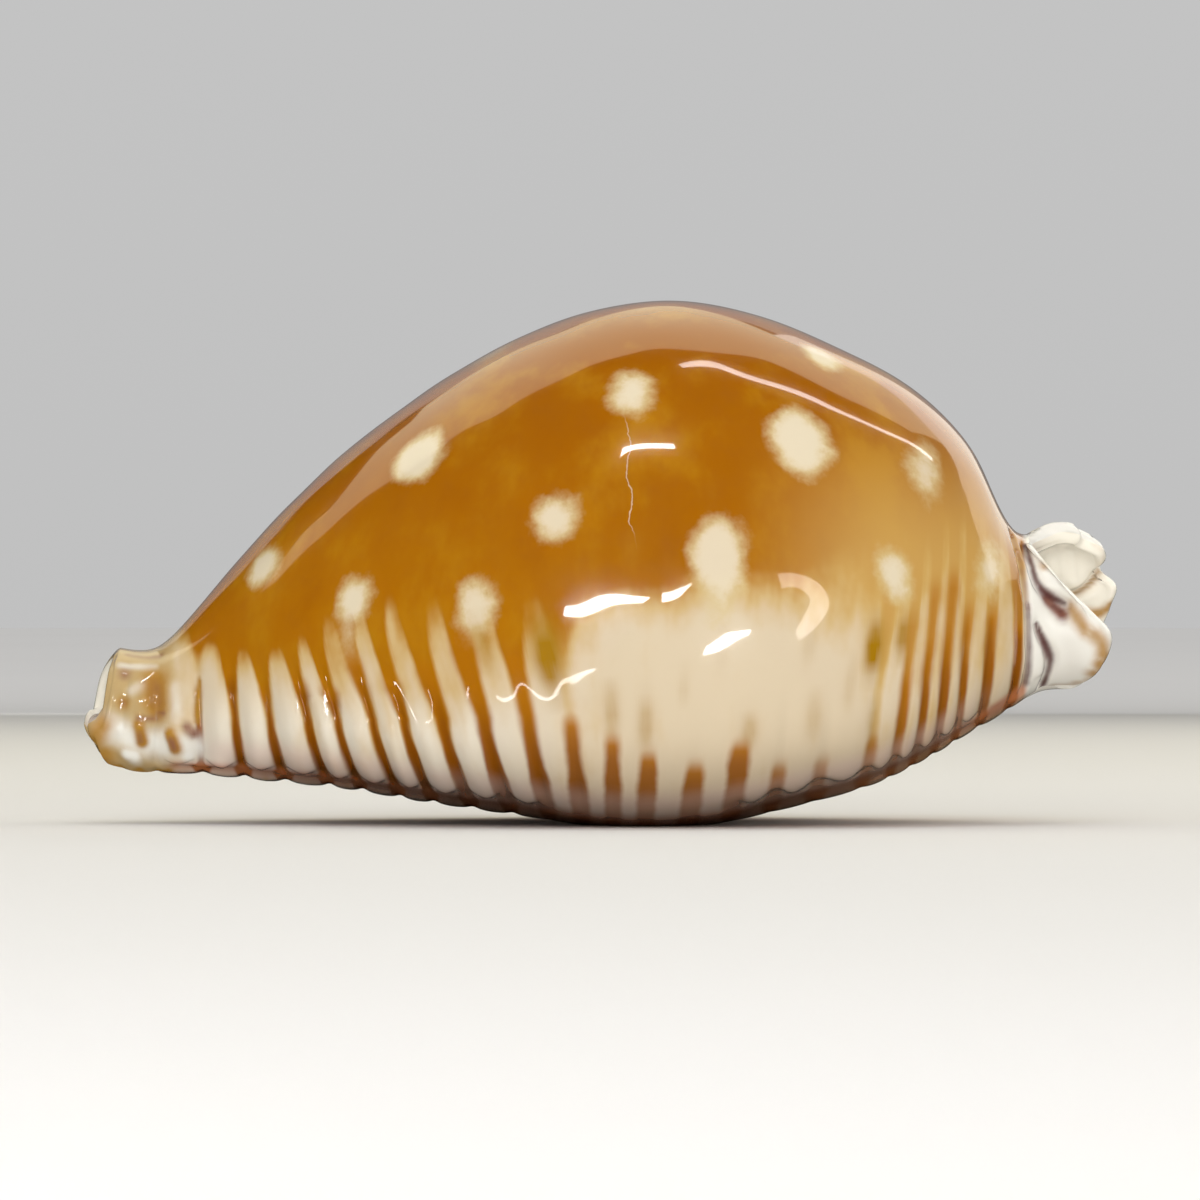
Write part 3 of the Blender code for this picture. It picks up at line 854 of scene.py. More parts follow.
@dataclass(frozen=True)
class ShellColours:
    """The linear colours of the shell."""

    # The darkest amber serves the darker clouds and the painted shade up the back.
    amber_dark: Colour = (0.315, 0.096, 0.001)
    amber: Colour = (0.390, 0.140, 0.002)
    amber_light: Colour = (0.455, 0.203, 0.006)
    tan: Colour = (0.575, 0.355, 0.105)
    veil_tan: Colour = (0.60, 0.40, 0.135)
    cream: Colour = (0.68, 0.565, 0.40)
    rib_white: Colour = (0.78, 0.715, 0.60)
    spot: Colour = (0.73, 0.635, 0.465)
    spot_rim: Colour = (0.64, 0.50, 0.26)
    line_light: Colour = (0.41, 0.145, 0.003)
    line_dark: Colour = (0.265, 0.075, 0.002)
    streak: Colour = (0.35, 0.175, 0.004)
    base_line: Colour = (0.50, 0.170, 0.060)
    base_rib: Colour = (0.56, 0.220, 0.125)
    # Painted reflection: a pale pinkish-grey tint laid over a low band just above the base.
    lilac_reflection: Colour = (0.80, 0.62, 0.55)
    beak: Colour = (0.50, 0.355, 0.165)
    ochre: Colour = (0.43, 0.215, 0.030)
    # Dark tints: the beak's mottles, and in the rear creases and pit partly brown colour, partly
    # painted shade.
    mauve_stain_and_shade: Colour = (0.25, 0.105, 0.072)
    plum_stain_and_shade: Colour = (0.110, 0.040, 0.036)
    white: Colour = (0.86, 0.84, 0.775)
    # The inside's white made brighter: the white is the shell's own, the extra brightness is
    # painted light on the shaded inside.
    painted_light_white: Colour = (0.95, 0.90, 0.78)
    inner_wall: Colour = (0.52, 0.42, 0.34)


@dataclass(frozen=True)
class Cloud:
    """A soft noise over a piece's own coordinates: its scale, detail, roughness and stretch."""

    scale: float
    detail: float = 3.0
    roughness: float = 0.5
    stretch: tuple[float, float, float] = (1.0, 1.0, 1.0)


@dataclass(frozen=True)
class Ramp:
    """A smooth rise inside a material, from low at its start to high at its end."""

    start: float
    end: float
    low: float = 0.0
    high: float = 1.0


class Sheet:
    """Lays out one material's nodes, with a short method for each kind of node."""

    def __init__(self, name: str) -> None:
        """Makes a material that ends in a Principled shader, under this name."""
        self.material = bpy.data.materials.new(name)
        self.material.use_nodes = True
        self.tree = self.material.node_tree
        self.shader = self.tree.nodes["Principled BSDF"]

    def put(self, socket: bpy.types.NodeSocket, value: object) -> None:
        """Links a socket to another one, or sets it to a constant."""
        if isinstance(value, bpy.types.NodeSocket):
            self.tree.links.new(value, socket)
        elif isinstance(value, tuple):
            socket.default_value = value if len(socket.default_value) == 3 else (*value, 1.0)
        else:
            socket.default_value = value

    def attribute(self, name: str, output: str = "Fac") -> bpy.types.NodeSocket:
        """Reads one of the piece's own attributes."""
        node = self.tree.nodes.new("ShaderNodeAttribute")
        node.attribute_name = name
        return node.outputs[output]

    def place(self, stretch: tuple[float, float, float]) -> bpy.types.NodeSocket:
        """The piece's own coordinates, in metres, stretched by three factors."""
        source = self.tree.nodes.new("ShaderNodeTexCoord")
        node = self.tree.nodes.new("ShaderNodeMapping")
        self.put(node.inputs["Vector"], source.outputs["Object"])
        self.put(node.inputs["Scale"], stretch)
        return node.outputs["Vector"]

    def height(self) -> bpy.types.NodeSocket:
        """The height above the floor, in millimetres."""
        node = self.tree.nodes.new("ShaderNodeSeparateXYZ")
        self.put(node.inputs[0], self.place((1 / MM, 1 / MM, 1 / MM)))
        return node.outputs["Z"]

    def math(self, kind: str, a: object, b: object = 0.0) -> bpy.types.NodeSocket:
        """One sum of two numbers or sockets."""
        node = self.tree.nodes.new("ShaderNodeMath")
        node.operation = kind
        self.put(node.inputs[0], a)
        self.put(node.inputs[1], b)
        return node.outputs[0]

    def times(self, a: object, b: object) -> bpy.types.NodeSocket:
        """The product of two numbers or sockets."""
        return self.math("MULTIPLY", a, b)

    def shaken(self, value: object, noise: object, amount: float) -> bpy.types.NodeSocket:
        """A value moved up and down by a noise from 0 to 1, by half the amount each way."""
        centred = self.math("SUBTRACT", noise, 0.5)
        return self.math("ADD", value, self.times(centred, amount))

    def rise(self, value: object, ramp: Ramp) -> bpy.types.NodeSocket:
        """The smooth rise of a value along a ramp."""
        node = self.tree.nodes.new("ShaderNodeMapRange")
        node.interpolation_type = "SMOOTHSTEP"
        for name, given in (("Value", value), ("From Min", ramp.start), ("From Max", ramp.end),
                            ("To Min", ramp.low), ("To Max", ramp.high)):
            self.put(node.inputs[name], given)
        return node.outputs["Result"]

    def noise(self, cloud: Cloud, where: object = None) -> bpy.types.NodeSocket:
        """A cloud of noise from 0 to 1, over its own stretched place or another vector."""
        node = self.tree.nodes.new("ShaderNodeTexNoise")
        self.put(node.inputs["Vector"], where or self.place(cloud.stretch))
        for name, given in (("Scale", cloud.scale), ("Detail", cloud.detail),
                            ("Roughness", cloud.roughness)):
            self.put(node.inputs[name], given)
        return node.outputs["Fac"]

    def mix(self, under: object, over: object, share: object) -> bpy.types.NodeSocket:
        """One colour laid over another by a share."""
        node = self.tree.nodes.new("ShaderNodeMix")
        node.data_type = "RGBA"
        self.put(node.inputs[0], share)
        self.put(node.inputs[6], under)
        self.put(node.inputs[7], over)
        return node.outputs[2]

    def bump(self, height: object, distance: float, strength: float) -> bpy.types.NodeSocket:
        """Turns a height socket into a bent normal."""
        node = self.tree.nodes.new("ShaderNodeBump")
        self.put(node.inputs["Height"], height)
        self.put(node.inputs["Distance"], distance)
        self.put(node.inputs["Strength"], strength)
        return node.outputs["Normal"]


@dataclass(frozen=True)
class ShellFinish:
    """Polished shell: amber under cream, pale spots, brown lines, all under a clear gloss."""

    colours: ShellColours = ShellColours()
    clouds: Cloud = Cloud(230.0, 4.0, 0.55, (1.0, 1.0, 0.6))
    drift: Cloud = Cloud(75.0, 2.0)
    grain: Cloud = Cloud(1.5, 2.0)
    wisps: Cloud = Cloud(330.0, 3.0, 0.6, (1.0, 1.0, 0.7))
    spot_rag: Cloud = Cloud(420.0, 4.0, 0.65)
    line_rag: Cloud = Cloud(650.0, 3.0, 0.5, (1.0, 1.0, 0.4))
    stain_rag: Cloud = Cloud(700.0)
    fine: Cloud = Cloud(900.0, 3.0, 0.6)
    # Painted shade: the amber darkens from 7 mm up to 29 mm high, with the height shaken by a
    # noise.
    light_shake: float = 14.0
    light: Ramp = Ramp(29.0, 7.0)
    pale_clouds: Ramp = Ramp(0.44, 0.72, 0.0, 0.75)
    dark_clouds: Ramp = Ramp(0.46, 0.30, 0.0, 0.45)
    veil_grain_shake: float = 0.8
    veil_wisp_shake: float = 0.7
    any_veil: Ramp = Ramp(0.0, 0.25)
    film: Ramp = Ramp(0.05, 0.60)
    film_share: float = 0.85
    thick_veil: Ramp = Ramp(0.30, 1.0)
    spot_shake: float = 1.9
    spot_edge: Ramp = Ramp(-0.55, 0.50)
    spot_core: Ramp = Ramp(0.0, 0.8)
    line_shake: float = 0.30
    line_edge: Ramp = Ramp(-0.2, 0.2)
    line_tint: Ramp = Ramp(0.3, 0.95)
    line_cover: Ramp = Ramp(0.0, 0.5, 0.0, 0.95)
    base_share: float = 0.8
    pale_line_shake: float = 0.9
    pale_line_near: Ramp = Ramp(0.050, 0.015, 0.0, 0.6)
    stain_shake: float = 0.45
    stain_edge: Ramp = Ramp(0.05, 0.95)
    any_stain: Ramp = Ramp(0.0, 0.2)
    roughness: Ramp = Ramp(0.3, 0.8, 0.11, 0.24)
    bump_height: float = 0.00004
    bump_strength: float = 0.25
    coat_roughness: float = 0.03
    coat_ior: float = 1.5
    specular: float = 0.15

    def ground(self, sheet: Sheet, clouds: object) -> bpy.types.NodeSocket:
        """The amber ground: darker up the back as painted shade, clouded, and tan towards the rear.
        """
        c = self.colours
        level = sheet.shaken(sheet.height(), sheet.noise(self.drift), self.light_shake)
        colour = sheet.mix(c.amber_dark, c.amber, sheet.rise(level, self.light))
        colour = sheet.mix(colour, c.amber_light, sheet.rise(clouds, self.pale_clouds))
        colour = sheet.mix(colour, c.amber_dark, sheet.rise(clouds, self.dark_clouds))
        return sheet.mix(colour, c.tan, sheet.attribute("tan_share"))

    def veiled(self, sheet: Sheet, colour: object) -> bpy.types.NodeSocket:
        """The cream veil over the ground: a ragged tan film, and cream where it is thick."""
        c, veil = self.colours, sheet.attribute("veil")
        streaks = sheet.noise(self.grain, sheet.attribute("grain", "Vector"))
        ragged = sheet.shaken(veil, streaks, self.veil_grain_shake)
        ragged = sheet.shaken(ragged, sheet.noise(self.wisps), self.veil_wisp_shake)
        any_veil = sheet.rise(veil, self.any_veil)
        film = sheet.times(sheet.rise(ragged, self.film), any_veil)
        colour = sheet.mix(colour, c.veil_tan, sheet.times(film, self.film_share))
        thick = sheet.times(sheet.rise(ragged, self.thick_veil), any_veil)
        cream = sheet.mix(c.cream, c.rib_white, sheet.attribute("rib_light"))
        return sheet.mix(colour, cream, thick)

    def spotted(self, sheet: Sheet, colour: object, noise: object) -> bpy.types.NodeSocket:
        """The pale spots with their ragged rims, and then the soft streaks."""
        c = self.colours
        edge = sheet.shaken(sheet.attribute("spot_depth"), noise, self.spot_shake)
        mask = sheet.times(sheet.rise(edge, self.spot_edge), sheet.attribute("spot_strength"))
        spot = sheet.mix(c.spot_rim, c.spot, sheet.rise(edge, self.spot_core))
        colour = sheet.mix(colour, spot, mask)
        return sheet.mix(colour, c.streak, sheet.attribute("streak"))

    def lined(self, sheet: Sheet, colour: object) -> bpy.types.NodeSocket:
        """The reddish base, the brown lines over it and a painted reflection above the base: a pale
        pinkish-grey tint over a low band.
        """
        c, dark = self.colours, sheet.attribute("line_darkness")
        below = sheet.attribute("under_share")
        colour = sheet.mix(colour, c.base_rib, sheet.times(below, self.base_share))
        edge = sheet.shaken(sheet.attribute("line_depth"), sheet.noise(self.line_rag),
                            self.line_shake)
        tint = sheet.mix(c.line_light, c.line_dark, sheet.rise(dark, self.line_tint))
        tint = sheet.mix(tint, c.base_line, below)
        mask = sheet.times(sheet.rise(edge, self.line_edge), sheet.rise(dark, self.line_cover))
        colour = sheet.mix(colour, tint, mask)
        # Painted reflection: the pale pinkish-grey tint over a low band above the base.
        return sheet.mix(colour, c.lilac_reflection, sheet.attribute("lilac_reflection_share"))

    def pale_lined(self, sheet: Sheet, colour: object, noise: object) -> bpy.types.NodeSocket:
        """A thin pale line down the back, which the noise makes crooked."""
        away = sheet.shaken(sheet.attribute("pale_line"), noise, self.pale_line_shake)
        near = sheet.rise(sheet.math("ABSOLUTE", away), self.pale_line_near)
        mask = sheet.times(near, sheet.attribute("pale_line_share"))
        return sheet.mix(colour, self.colours.cream, mask)

    def stained(self, sheet: Sheet, colour: object) -> bpy.types.NodeSocket:
        """The plain inside, and the tints of the two ends, each with a ragged edge. On the inside
        the white is brighter, as painted light, and the dark tints in the rear creases are partly
        painted shade.
        """
        c, inside = self.colours, sheet.attribute("inner_share")
        colour = sheet.mix(colour, c.inner_wall, inside)
        # On the inside the white is brighter: painted light on the shaded inside.
        white = sheet.mix(c.white, c.painted_light_white, inside)
        ragged = sheet.noise(self.stain_rag)
        for stain, tint in ((Stain.TAN, c.beak), (Stain.WHITE, white), (Stain.OCHRE, c.ochre),
                            (Stain.MAUVE_STAIN_AND_SHADE, c.mauve_stain_and_shade), (Stain.PLUM_STAIN_AND_SHADE, c.plum_stain_and_shade)):
            mask = sheet.attribute(stain.value)
            edge = sheet.rise(sheet.shaken(mask, ragged, self.stain_shake), self.stain_edge)
            share = sheet.times(edge, sheet.rise(mask, self.any_stain))
            colour = sheet.mix(colour, tint, share)
        return colour

    def material(self) -> bpy.types.Material:
        """Lays the colours over each other by the skin's fields, each broken up by noise.

        Returns:
            The finished material.
        """
        sheet = Sheet("polished_cowrie")
        clouds, spot_noise = sheet.noise(self.clouds), sheet.noise(self.spot_rag)
        colour = self.veiled(sheet, self.ground(sheet, clouds))
        colour = self.lined(sheet, self.spotted(sheet, colour, spot_noise))
        colour = self.stained(sheet, self.pale_lined(sheet, colour, spot_noise))
        rough = sheet.rise(sheet.noise(self.fine), self.roughness)
        for name, value in (
                ("Base Color", colour), ("Roughness", rough),
                ("Normal", sheet.bump(clouds, self.bump_height, self.bump_strength)),
                ("Coat Weight", 1.0), ("Coat Roughness", self.coat_roughness),
                ("Coat IOR", self.coat_ior), ("Specular IOR Level", self.specular)):
            sheet.put(sheet.shader.inputs[name], value)
        return sheet.material


@dataclass(frozen=True)
class Zones:
    """Where along the shell, up it and round it each soft share of colour comes and goes."""

    rib_light: float = 0.9
    rib_light_low: Rise = Rise(8.5, 5.0)
    rib_light_front: Rise = Rise(2.0, -10.0)
    tan: float = 0.85
    tan_front: Rise = Rise(7.0, 17.0)
    tan_rear: Rise = Rise(25.0, 21.6)
    tan_low: Rise = Rise(25.0, 14.0)
    under_low: Rise = Rise(1.2, 0.7)
    under_slot: Rise = Rise(1.55, 1.9)
    under_loss: float = 0.7
    # A painted reflection: a pale pinkish-grey tint over a low band above the base, kept off the
    # lines towards the front.
    lilac_reflection: float = 0.55
    lilac_reflection_foot: Rise = Rise(0.6, 1.0)
    lilac_reflection_top: Rise = Rise(2.8, 1.6)
    lilac_reflection_front: Rise = Rise(-24.0, -21.0)
    lilac_reflection_rear: Rise = Rise(23.0, 19.0)
    line_inside: Rise = Rise(-0.15, 0.20)
    line_dark: Rise = Rise(0.0, 0.4)
    line_reflection_over_lines: float = 0.6
    line_reflection_over_lines_rear: Rise = Rise(-11.0, -6.0)
    lobe_outside: Rise = Rise(23.95, 24.6)
    # The white of the rear lobes' inside takes the brighter white, as painted light.
    lobe_inside: Rise = Rise(24.0, 25.6)
    beak: float = 0.85
    beak_front: Rise = Rise(-23.8, -25.6)


@dataclass
class CowrieShell:
    """The shell as one fine closed skin, with its ribs, lobes and markings."""

    form: ShellForm = field(default_factory=ShellForm)
    ribs: Ribs = field(default_factory=Ribs)
    relief: ShellRelief = field(default_factory=ShellRelief)
    markings: Markings = field(default_factory=Markings)
    finish: ShellFinish = field(default_factory=ShellFinish)
    zones: Zones = Zones()
    name: str = "cowrie_shell_skin"
    inset: float = 0.025
    grain_height: float = 0.10
    grain_apart: float = 9.0
    rim_rows: int = 9
    rim_closing: tuple[float, float] = (0.97, 0.25)
    open_rows: Runs = (
        (-29.3, -25.1, 36), (-25.0, 20.0, 294), (20.08, 24.2, 58), (24.28, 29.3, 60))
    outside_turns: Runs = ((0, 1, 8), (1, 2, 28), (2, 4, 78), (4, 5, 33), (5, 6, 8))
    inside_turns: Runs = (
        (0.25, 1, 4), (1, 1.9, 7), (1.9, 2.9, 30), (2.9, 4, 9), (4, 5, 7), (5, 5.75, 4))
    stains: tuple[tuple[Stain, tuple[Dab, ...]], ...] = (
        (Stain.WHITE, (
            Dab(((-28.2, 5.5), (-26.6, 4.8), (-24.8, 4.5), (-23.2, 4.4)), 1.05, 0.80),
            Dab(((-27.6, 5.5),), 0.48, 0.95),
            Dab(((-27.2, 4.0), (-25.8, 3.85), (-23.6, 4.0)), 0.50, 0.95),
            Dab(((-26.9, 7.75), (-26.2, 8.0)), 0.50, 0.50),
            Dab(((-24.4, 7.8), (-24.2, 6.2)), 0.55, 0.50),
            Dab(((-27.6, 9.1), (-25.6, 9.0)), 0.36, 0.50),
            # On this inside face the white takes the brighter white, as painted light.
            Dab(((-28.4, 9.4), (-28.8, 8.0), (-29.0, 6.4)), 1.20, 1.0, Side.FAR_WALL),
            Dab(((-28.0, 5.2), (-25.6, 4.6), (-23.4, 4.4)), 1.00, 0.80, Side.OUTER_LIP))),
        (Stain.OCHRE, (
            Dab(((-28.6, 5.7), (-29.0, 4.6), (-28.2, 3.7)), 0.85, 0.80),
            Dab(((-26.5, 5.7), (-26.4, 5.2), (-26.3, 4.7)), 0.46, 1.0),
            Dab(((-24.7, 5.2), (-24.55, 4.8), (-24.4, 4.3)), 0.48, 1.0),
            Dab(((-25.55, 8.2), (-25.45, 6.8)), 0.95, 0.95),
            Dab(((-27.4, 6.95),), 0.50, 0.80),
            Dab(((-23.0, 8.3, 0.7), (-23.0, 7.2), (-23.1, 6.0)), 0.32, 0.95),
            Dab(((-28.2, 3.4), (-26.5, 3.15), (-24.8, 3.05)), 0.30, 0.80),
            Dab(((-29.4, 5.3), (-29.3, 4.3)), 0.60, 0.50, Side.FAR_WALL),
            Dab(((28.4, 15.0), (29.2, 13.4), (29.0, 11.4), (28.4, 9.8)),
                 0.60, 0.70, Side.OUTER_LIP),
            Dab(((-26.4, 5.4), (-26.2, 4.6)), 0.45, 0.90, Side.OUTER_LIP),
            Dab(((-25.2, 7.9), (-25.1, 6.6)), 0.80, 0.75, Side.OUTER_LIP),
            Dab(((26.8, 12.4), (27.3, 11.7), (27.7, 11.1)), 0.55, 0.70),
            Dab(((24.95, 15.2), (25.35, 14.75)), 0.36, 0.65),
            Dab(((28.1, 10.9), (28.6, 10.3), (28.6, 9.5), (28.1, 8.7)), 0.60, 0.75),
            Dab(((28.0, 8.6), (27.0, 8.0), (26.0, 7.8)), 0.45, 0.45),
            Dab(((28.85, 14.6), (28.5, 14.05), (27.85, 13.5), (27.2, 13.2)),
                 0.36, 0.65, Side.FAR_WALL),
            Dab(((28.7, 16.0), (28.9, 14.9)), 0.34, 0.45, Side.FAR_WALL),
            Dab(((28.2, 12.1), (28.9, 12.1), (29.5, 12.5)), 0.42, 0.80, Side.FAR_WALL))),
        (Stain.MAUVE_STAIN_AND_SHADE, (
            Dab(((-26.45, 5.2), (-26.4, 4.8)), 0.30, 0.55),
            Dab(((-24.6, 4.8), (-24.45, 4.35)), 0.32, 0.70),
            Dab(((-23.7, 5.6), (-23.3, 5.25)), 0.42, 0.85),
            Dab(((-27.2, 9.7), (-25.3, 9.65)), 0.34, 0.55),
            Dab(((-27.35, 8.6),), 0.50, 0.60),
            Dab(((-27.4, 6.95),), 0.34, 0.50),
            Dab(((-25.6, 8.1), (-25.4, 7.0)), 0.80, 0.36),
            Dab(((-26.5, 6.05), (-25.8, 6.1), (-25.1, 6.35)), 0.28, 0.65),
            # Painted shade along the furrow at the body's end, partly brown colour.
            Dab(((23.6, 16.6), (24.0, 14.8), (24.2, 13.66), (24.34, 12.5)), 0.26, 0.50),
            Dab(((-27.2, 8.4),), 0.50, 0.60, Side.OUTER_LIP),
            Dab(((-24.5, 5.0), (-24.3, 4.3)), 0.40, 0.75, Side.OUTER_LIP),
            # Painted shade round the rear pit and beside the lower crease.
            Dab(((25.5, 12.9), (25.95, 12.4), (26.4, 12.0)), 0.50, 0.95),
            Dab(((24.8, 11.2), (25.2, 10.2), (25.4, 9.6)), 0.40, 0.40))),
        # Dark lines at the foot of the beak and along the rear creases, pit and body's end: partly
        # brown colour, partly painted shade.
        (Stain.PLUM_STAIN_AND_SHADE, (
            Dab(((-24.9, 2.9), (-23.6, 2.9)), 0.45, 0.80),
            Dab(((24.27, 15.97, 0.8), (24.66, 14.82, 0.9), (24.86, 14.05, 1.0),
                 (25.26, 13.39, 1.2), (25.69, 13.08, 1.3), (26.45, 12.68, 1.0)), 0.26, 0.75),
            Dab(((24.85, 11.5, 0.7), (25.05, 11.0, 0.9), (25.31, 10.42, 1.2), (25.6, 9.8, 1.4),
                 (25.67, 9.23, 1.1), (25.50, 8.47, 0.9), (25.25, 7.85, 0.8)), 0.26, 0.80),
            Dab(((24.34, 12.6, 0.8), (24.4, 10.8, 1.0), (24.4, 9.5, 1.1), (24.27, 8.2, 1.2),
                 (24.07, 7.55, 1.2)), 0.26, 0.65),
            Dab(((24.8, 14.6), (25.4, 13.0), (26.3, 11.6)), 0.28, 0.60, Side.OUTER_LIP),
            Dab(((24.3, 14.0), (24.5, 12.0), (24.5, 9.6), (24.2, 7.8)),
                 0.26, 0.55, Side.OUTER_LIP),
            Dab(((25.85, 12.5), (26.3, 12.15)), 0.26, 0.60))))

    def rows(self) -> tuple[Array, Array]:
        """Places of the sections along the shell, and how far each is rounded into a rim.

        Returns:
            Places, and closings from 0 to 1 that are above 0 only at the two rims.
        """
        closing = np.linspace(*self.rim_closing, self.rim_rows)
        rim = np.full(self.rim_rows, self.form.last_place)
        places = np.concatenate([np.linspace(*run) for run in self.open_rows])
        return (np.concatenate([-rim, places, rim]),
                np.concatenate([closing, np.zeros(len(places)), closing[::-1]]))

    def turns(self) -> tuple[Array, Array]:
        """Turns of the outside from lip to lip, and of the inside between its two ends."""
        outside, inside = (
            np.concatenate([[runs[0][0]], *(np.linspace(*run)[1:] for run in runs)])
            for runs in (self.outside_turns, self.inside_turns))
        return outside, inside

    def skin(self) -> Skin:
        """Lays out the grid: leaning sections, dented by the grooves between the ribs.

        Near a rim the outside and the inside run together as a quarter round: their mix goes
        with the cosine of the closing, and their pull back from the rim with its sine.

        Returns:
            The skin in millimetres.
        """
        places, closing = self.rows()
        both_turns = self.turns()
        form, ribs = self.form, self.ribs
        count = ribs.count(places)[:, None]
        swing = closing * np.pi / 2
        keep = (0.5 + 0.5 * np.cos(swing))[:, None]
        pull = form.rim_rounding * (1 - np.sin(swing)) * (closing > 0) * np.sign(places)
        halves = []
        for turns, inside in zip(both_turns, (False, True)):
            read, real = form.station(places[:, None], turns[None, :])
            y, z = form.section(read, turns, inside)
            if not inside:
                ny, nz = form.outward(read, turns)
                dent = ribs.dent(form, read, turns, z, count) + self.inset
                y, z = y - dent * ny, np.maximum(z - dent * nz, 0.0)
            other_y, other_z = form.section(read, turns, not inside)
            y, z = y * keep + other_y * (1 - keep), z * keep + other_z * (1 - keep)
            halves.append(np.stack([real - pull[:, None], y, z], axis=2))
        turns = np.concatenate([both_turns[0], both_turns[1][::-1]])
        points = np.concatenate([halves[0], halves[1][:, ::-1]], axis=1)
        return Skin(points, turns, places, len(both_turns[0]))

    def faces(self, skin: Skin) -> tuple[Array, Array]:
        """Squares between the rows, and triangles that zip the two ends shut.

        Args:
            skin: The skin, whose columns go out along the outside and back along the inside.

        Returns:
            Squares and triangles as rows of point numbers.
        """
        rows, size = skin.points.shape[:2]
        i = np.arange(size)
        low = (np.arange(rows - 1) * size)[:, None]
        here, beside = low + i, low + (i + 1) % size
        squares = np.stack([here, beside, beside + size, here + size], axis=2).reshape(-1, 4)

        outside, inside = self.turns()
        order = np.argsort(np.concatenate([outside[1:], inside[1:]]), kind="stable")
        is_out = order < len(outside) - 1
        out_at = np.cumsum(is_out) - is_out
        in_at = np.cumsum(~is_out) - ~is_out
        last = size - 1 - in_at
        third = np.where(is_out, out_at + 1, last - 1)
        front = np.stack([last, third, out_at], axis=1)
        rear = np.stack([out_at, third, last], axis=1) + (rows - 1) * size
        return squares, np.concatenate([front, rear])

    def fields(self, skin: Skin) -> dict[str, Array]:
        """Every field that the finish reads, one number for each point.

        Args:
            skin: The finished skin.

        Returns:
            The fields by name.
        """
        x, z = skin.points[..., 0], skin.points[..., 2]
        above = z - self.form.base(x)
        inward = np.abs(skin.turns - TOP_TURN)
        outside = np.arange(len(skin.turns)) < skin.outside_columns
        on_base = np.where(outside & (inward > 1.0), 1.0, 0.0)
        marks, zones = self.markings, self.zones
        fields = {"veil": marks.veil_field(skin, self.ribs), "streak": marks.streak_field(skin)}
        fields["spot_depth"], fields["spot_strength"] = marks.spot_field(skin)
        fields["line_depth"], fields["line_darkness"] = marks.line_field(skin, self.form, self.ribs)
        fields["pale_line"], fields["pale_line_share"] = marks.pale_line_field(skin)
        fields["inner_share"] = np.broadcast_to(np.where(outside, 0.0, 1.0), x.shape)
        fields["rib_light"] = zones.rib_light * zones.rib_light_low(z) * zones.rib_light_front(x)
        fields["tan_share"] = (zones.tan * zones.tan_front(x) * zones.tan_low(z)
                               * zones.tan_rear(x))
        fields["under_share"] = (zones.under_low(above) * on_base
                                 * (1 - zones.under_loss * zones.under_slot(inward)))
        # The painted reflection over a low band above the base: none on the brown lines at the
        # front, 0.6 of it on them towards the rear.
        on_line = zones.line_inside(fields["line_depth"]) * zones.line_dark(fields["line_darkness"])
        reflection_over_lines = 1 - on_line * (1 - zones.line_reflection_over_lines * zones.line_reflection_over_lines_rear(x))
        fields["lilac_reflection_share"] = (zones.lilac_reflection * zones.lilac_reflection_foot(above) * zones.lilac_reflection_top(above)
                                 * on_base * reflection_over_lines * zones.lilac_reflection_front(x) * zones.lilac_reflection_rear(x))
        fields[Stain.TAN.value] = np.where(outside, zones.beak * zones.beak_front(x), 0.0)
        for stain, dabs in self.stains:
            share = np.zeros(x.shape)
            for dab in dabs:
                bell = skin.nearness(dab.path, dab.reach, dab.side)
                share = np.maximum(share, dab.amount * bell)
            fields[stain.value] = share
        lobe = np.where(outside, zones.lobe_outside(x), zones.lobe_inside(x))
        fields[Stain.WHITE.value] = np.maximum(fields[Stain.WHITE.value], lobe)
        return fields

    def mesh(self, skin: Skin) -> bpy.types.Mesh:
        """Makes the mesh of the skin, in metres, with smooth shading.

        Args:
            skin: The finished skin.

        Returns:
            The mesh.
        """
        squares, triangles = self.faces(skin)
        mesh = bpy.data.meshes.new(self.name)
        corners = np.concatenate([squares.ravel(), triangles.ravel()]).astype(np.int32)
        sizes = np.repeat([4, 3], [len(squares), len(triangles)])
        mesh.vertices.add(skin.points[..., 0].size)
        mesh.vertices.foreach_set("co", (skin.points * MM).ravel().astype(np.float32))
        mesh.loops.add(len(corners))
        mesh.loops.foreach_set("vertex_index", corners)
        mesh.polygons.add(len(sizes))
        starts = np.concatenate([[0], np.cumsum(sizes)[:-1]]).astype(np.int32)
        mesh.polygons.foreach_set("loop_start", starts)
        mesh.update(calc_edges=True)
        mesh.validate()
        mesh.shade_smooth()
        return mesh

    def add_fields(self, mesh: bpy.types.Mesh, skin: Skin) -> None:
        """Gives the mesh its fields, and a grain that runs with the grooves on each side.

        Args:
            mesh: The mesh to write to.
            skin: The skin it was made from.
        """
        for name, values in self.fields(skin).items():
            layer = mesh.attributes.new(name, "FLOAT", "POINT")
            layer.data.foreach_set("value", np.ascontiguousarray(values, np.float32).ravel())
        shape = skin.points.shape[:2]
        count = np.broadcast_to(self.ribs.count(skin.places)[:, None], shape)
        side = np.broadcast_to(np.sign(skin.turns - TOP_TURN) * self.grain_apart, shape)
        grain = np.stack([count, skin.points[..., 2] * self.grain_height, side], axis=2)
        layer = mesh.attributes.new("grain", "FLOAT_VECTOR", "POINT")
        layer.data.foreach_set("vector", grain.astype(np.float32).ravel())

    def build(self) -> bpy.types.Object:
        """Makes the shell with its fields and its finish, and says what it stands for.

        Returns:
            The shell's object.
        """
        skin = self.skin()
        self.relief.apply(skin)
        skin.points[..., 2] = np.maximum(skin.points[..., 2], 0.0)
        mesh = self.mesh(skin)
        self.add_fields(mesh, skin)
        mesh.materials.append(self.finish.material())
        shell = bpy.data.objects.new(self.name, mesh)
        bpy.context.scene.collection.objects.link(shell)
        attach(shell, "root")
        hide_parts("cowrie_shell")
        return shell


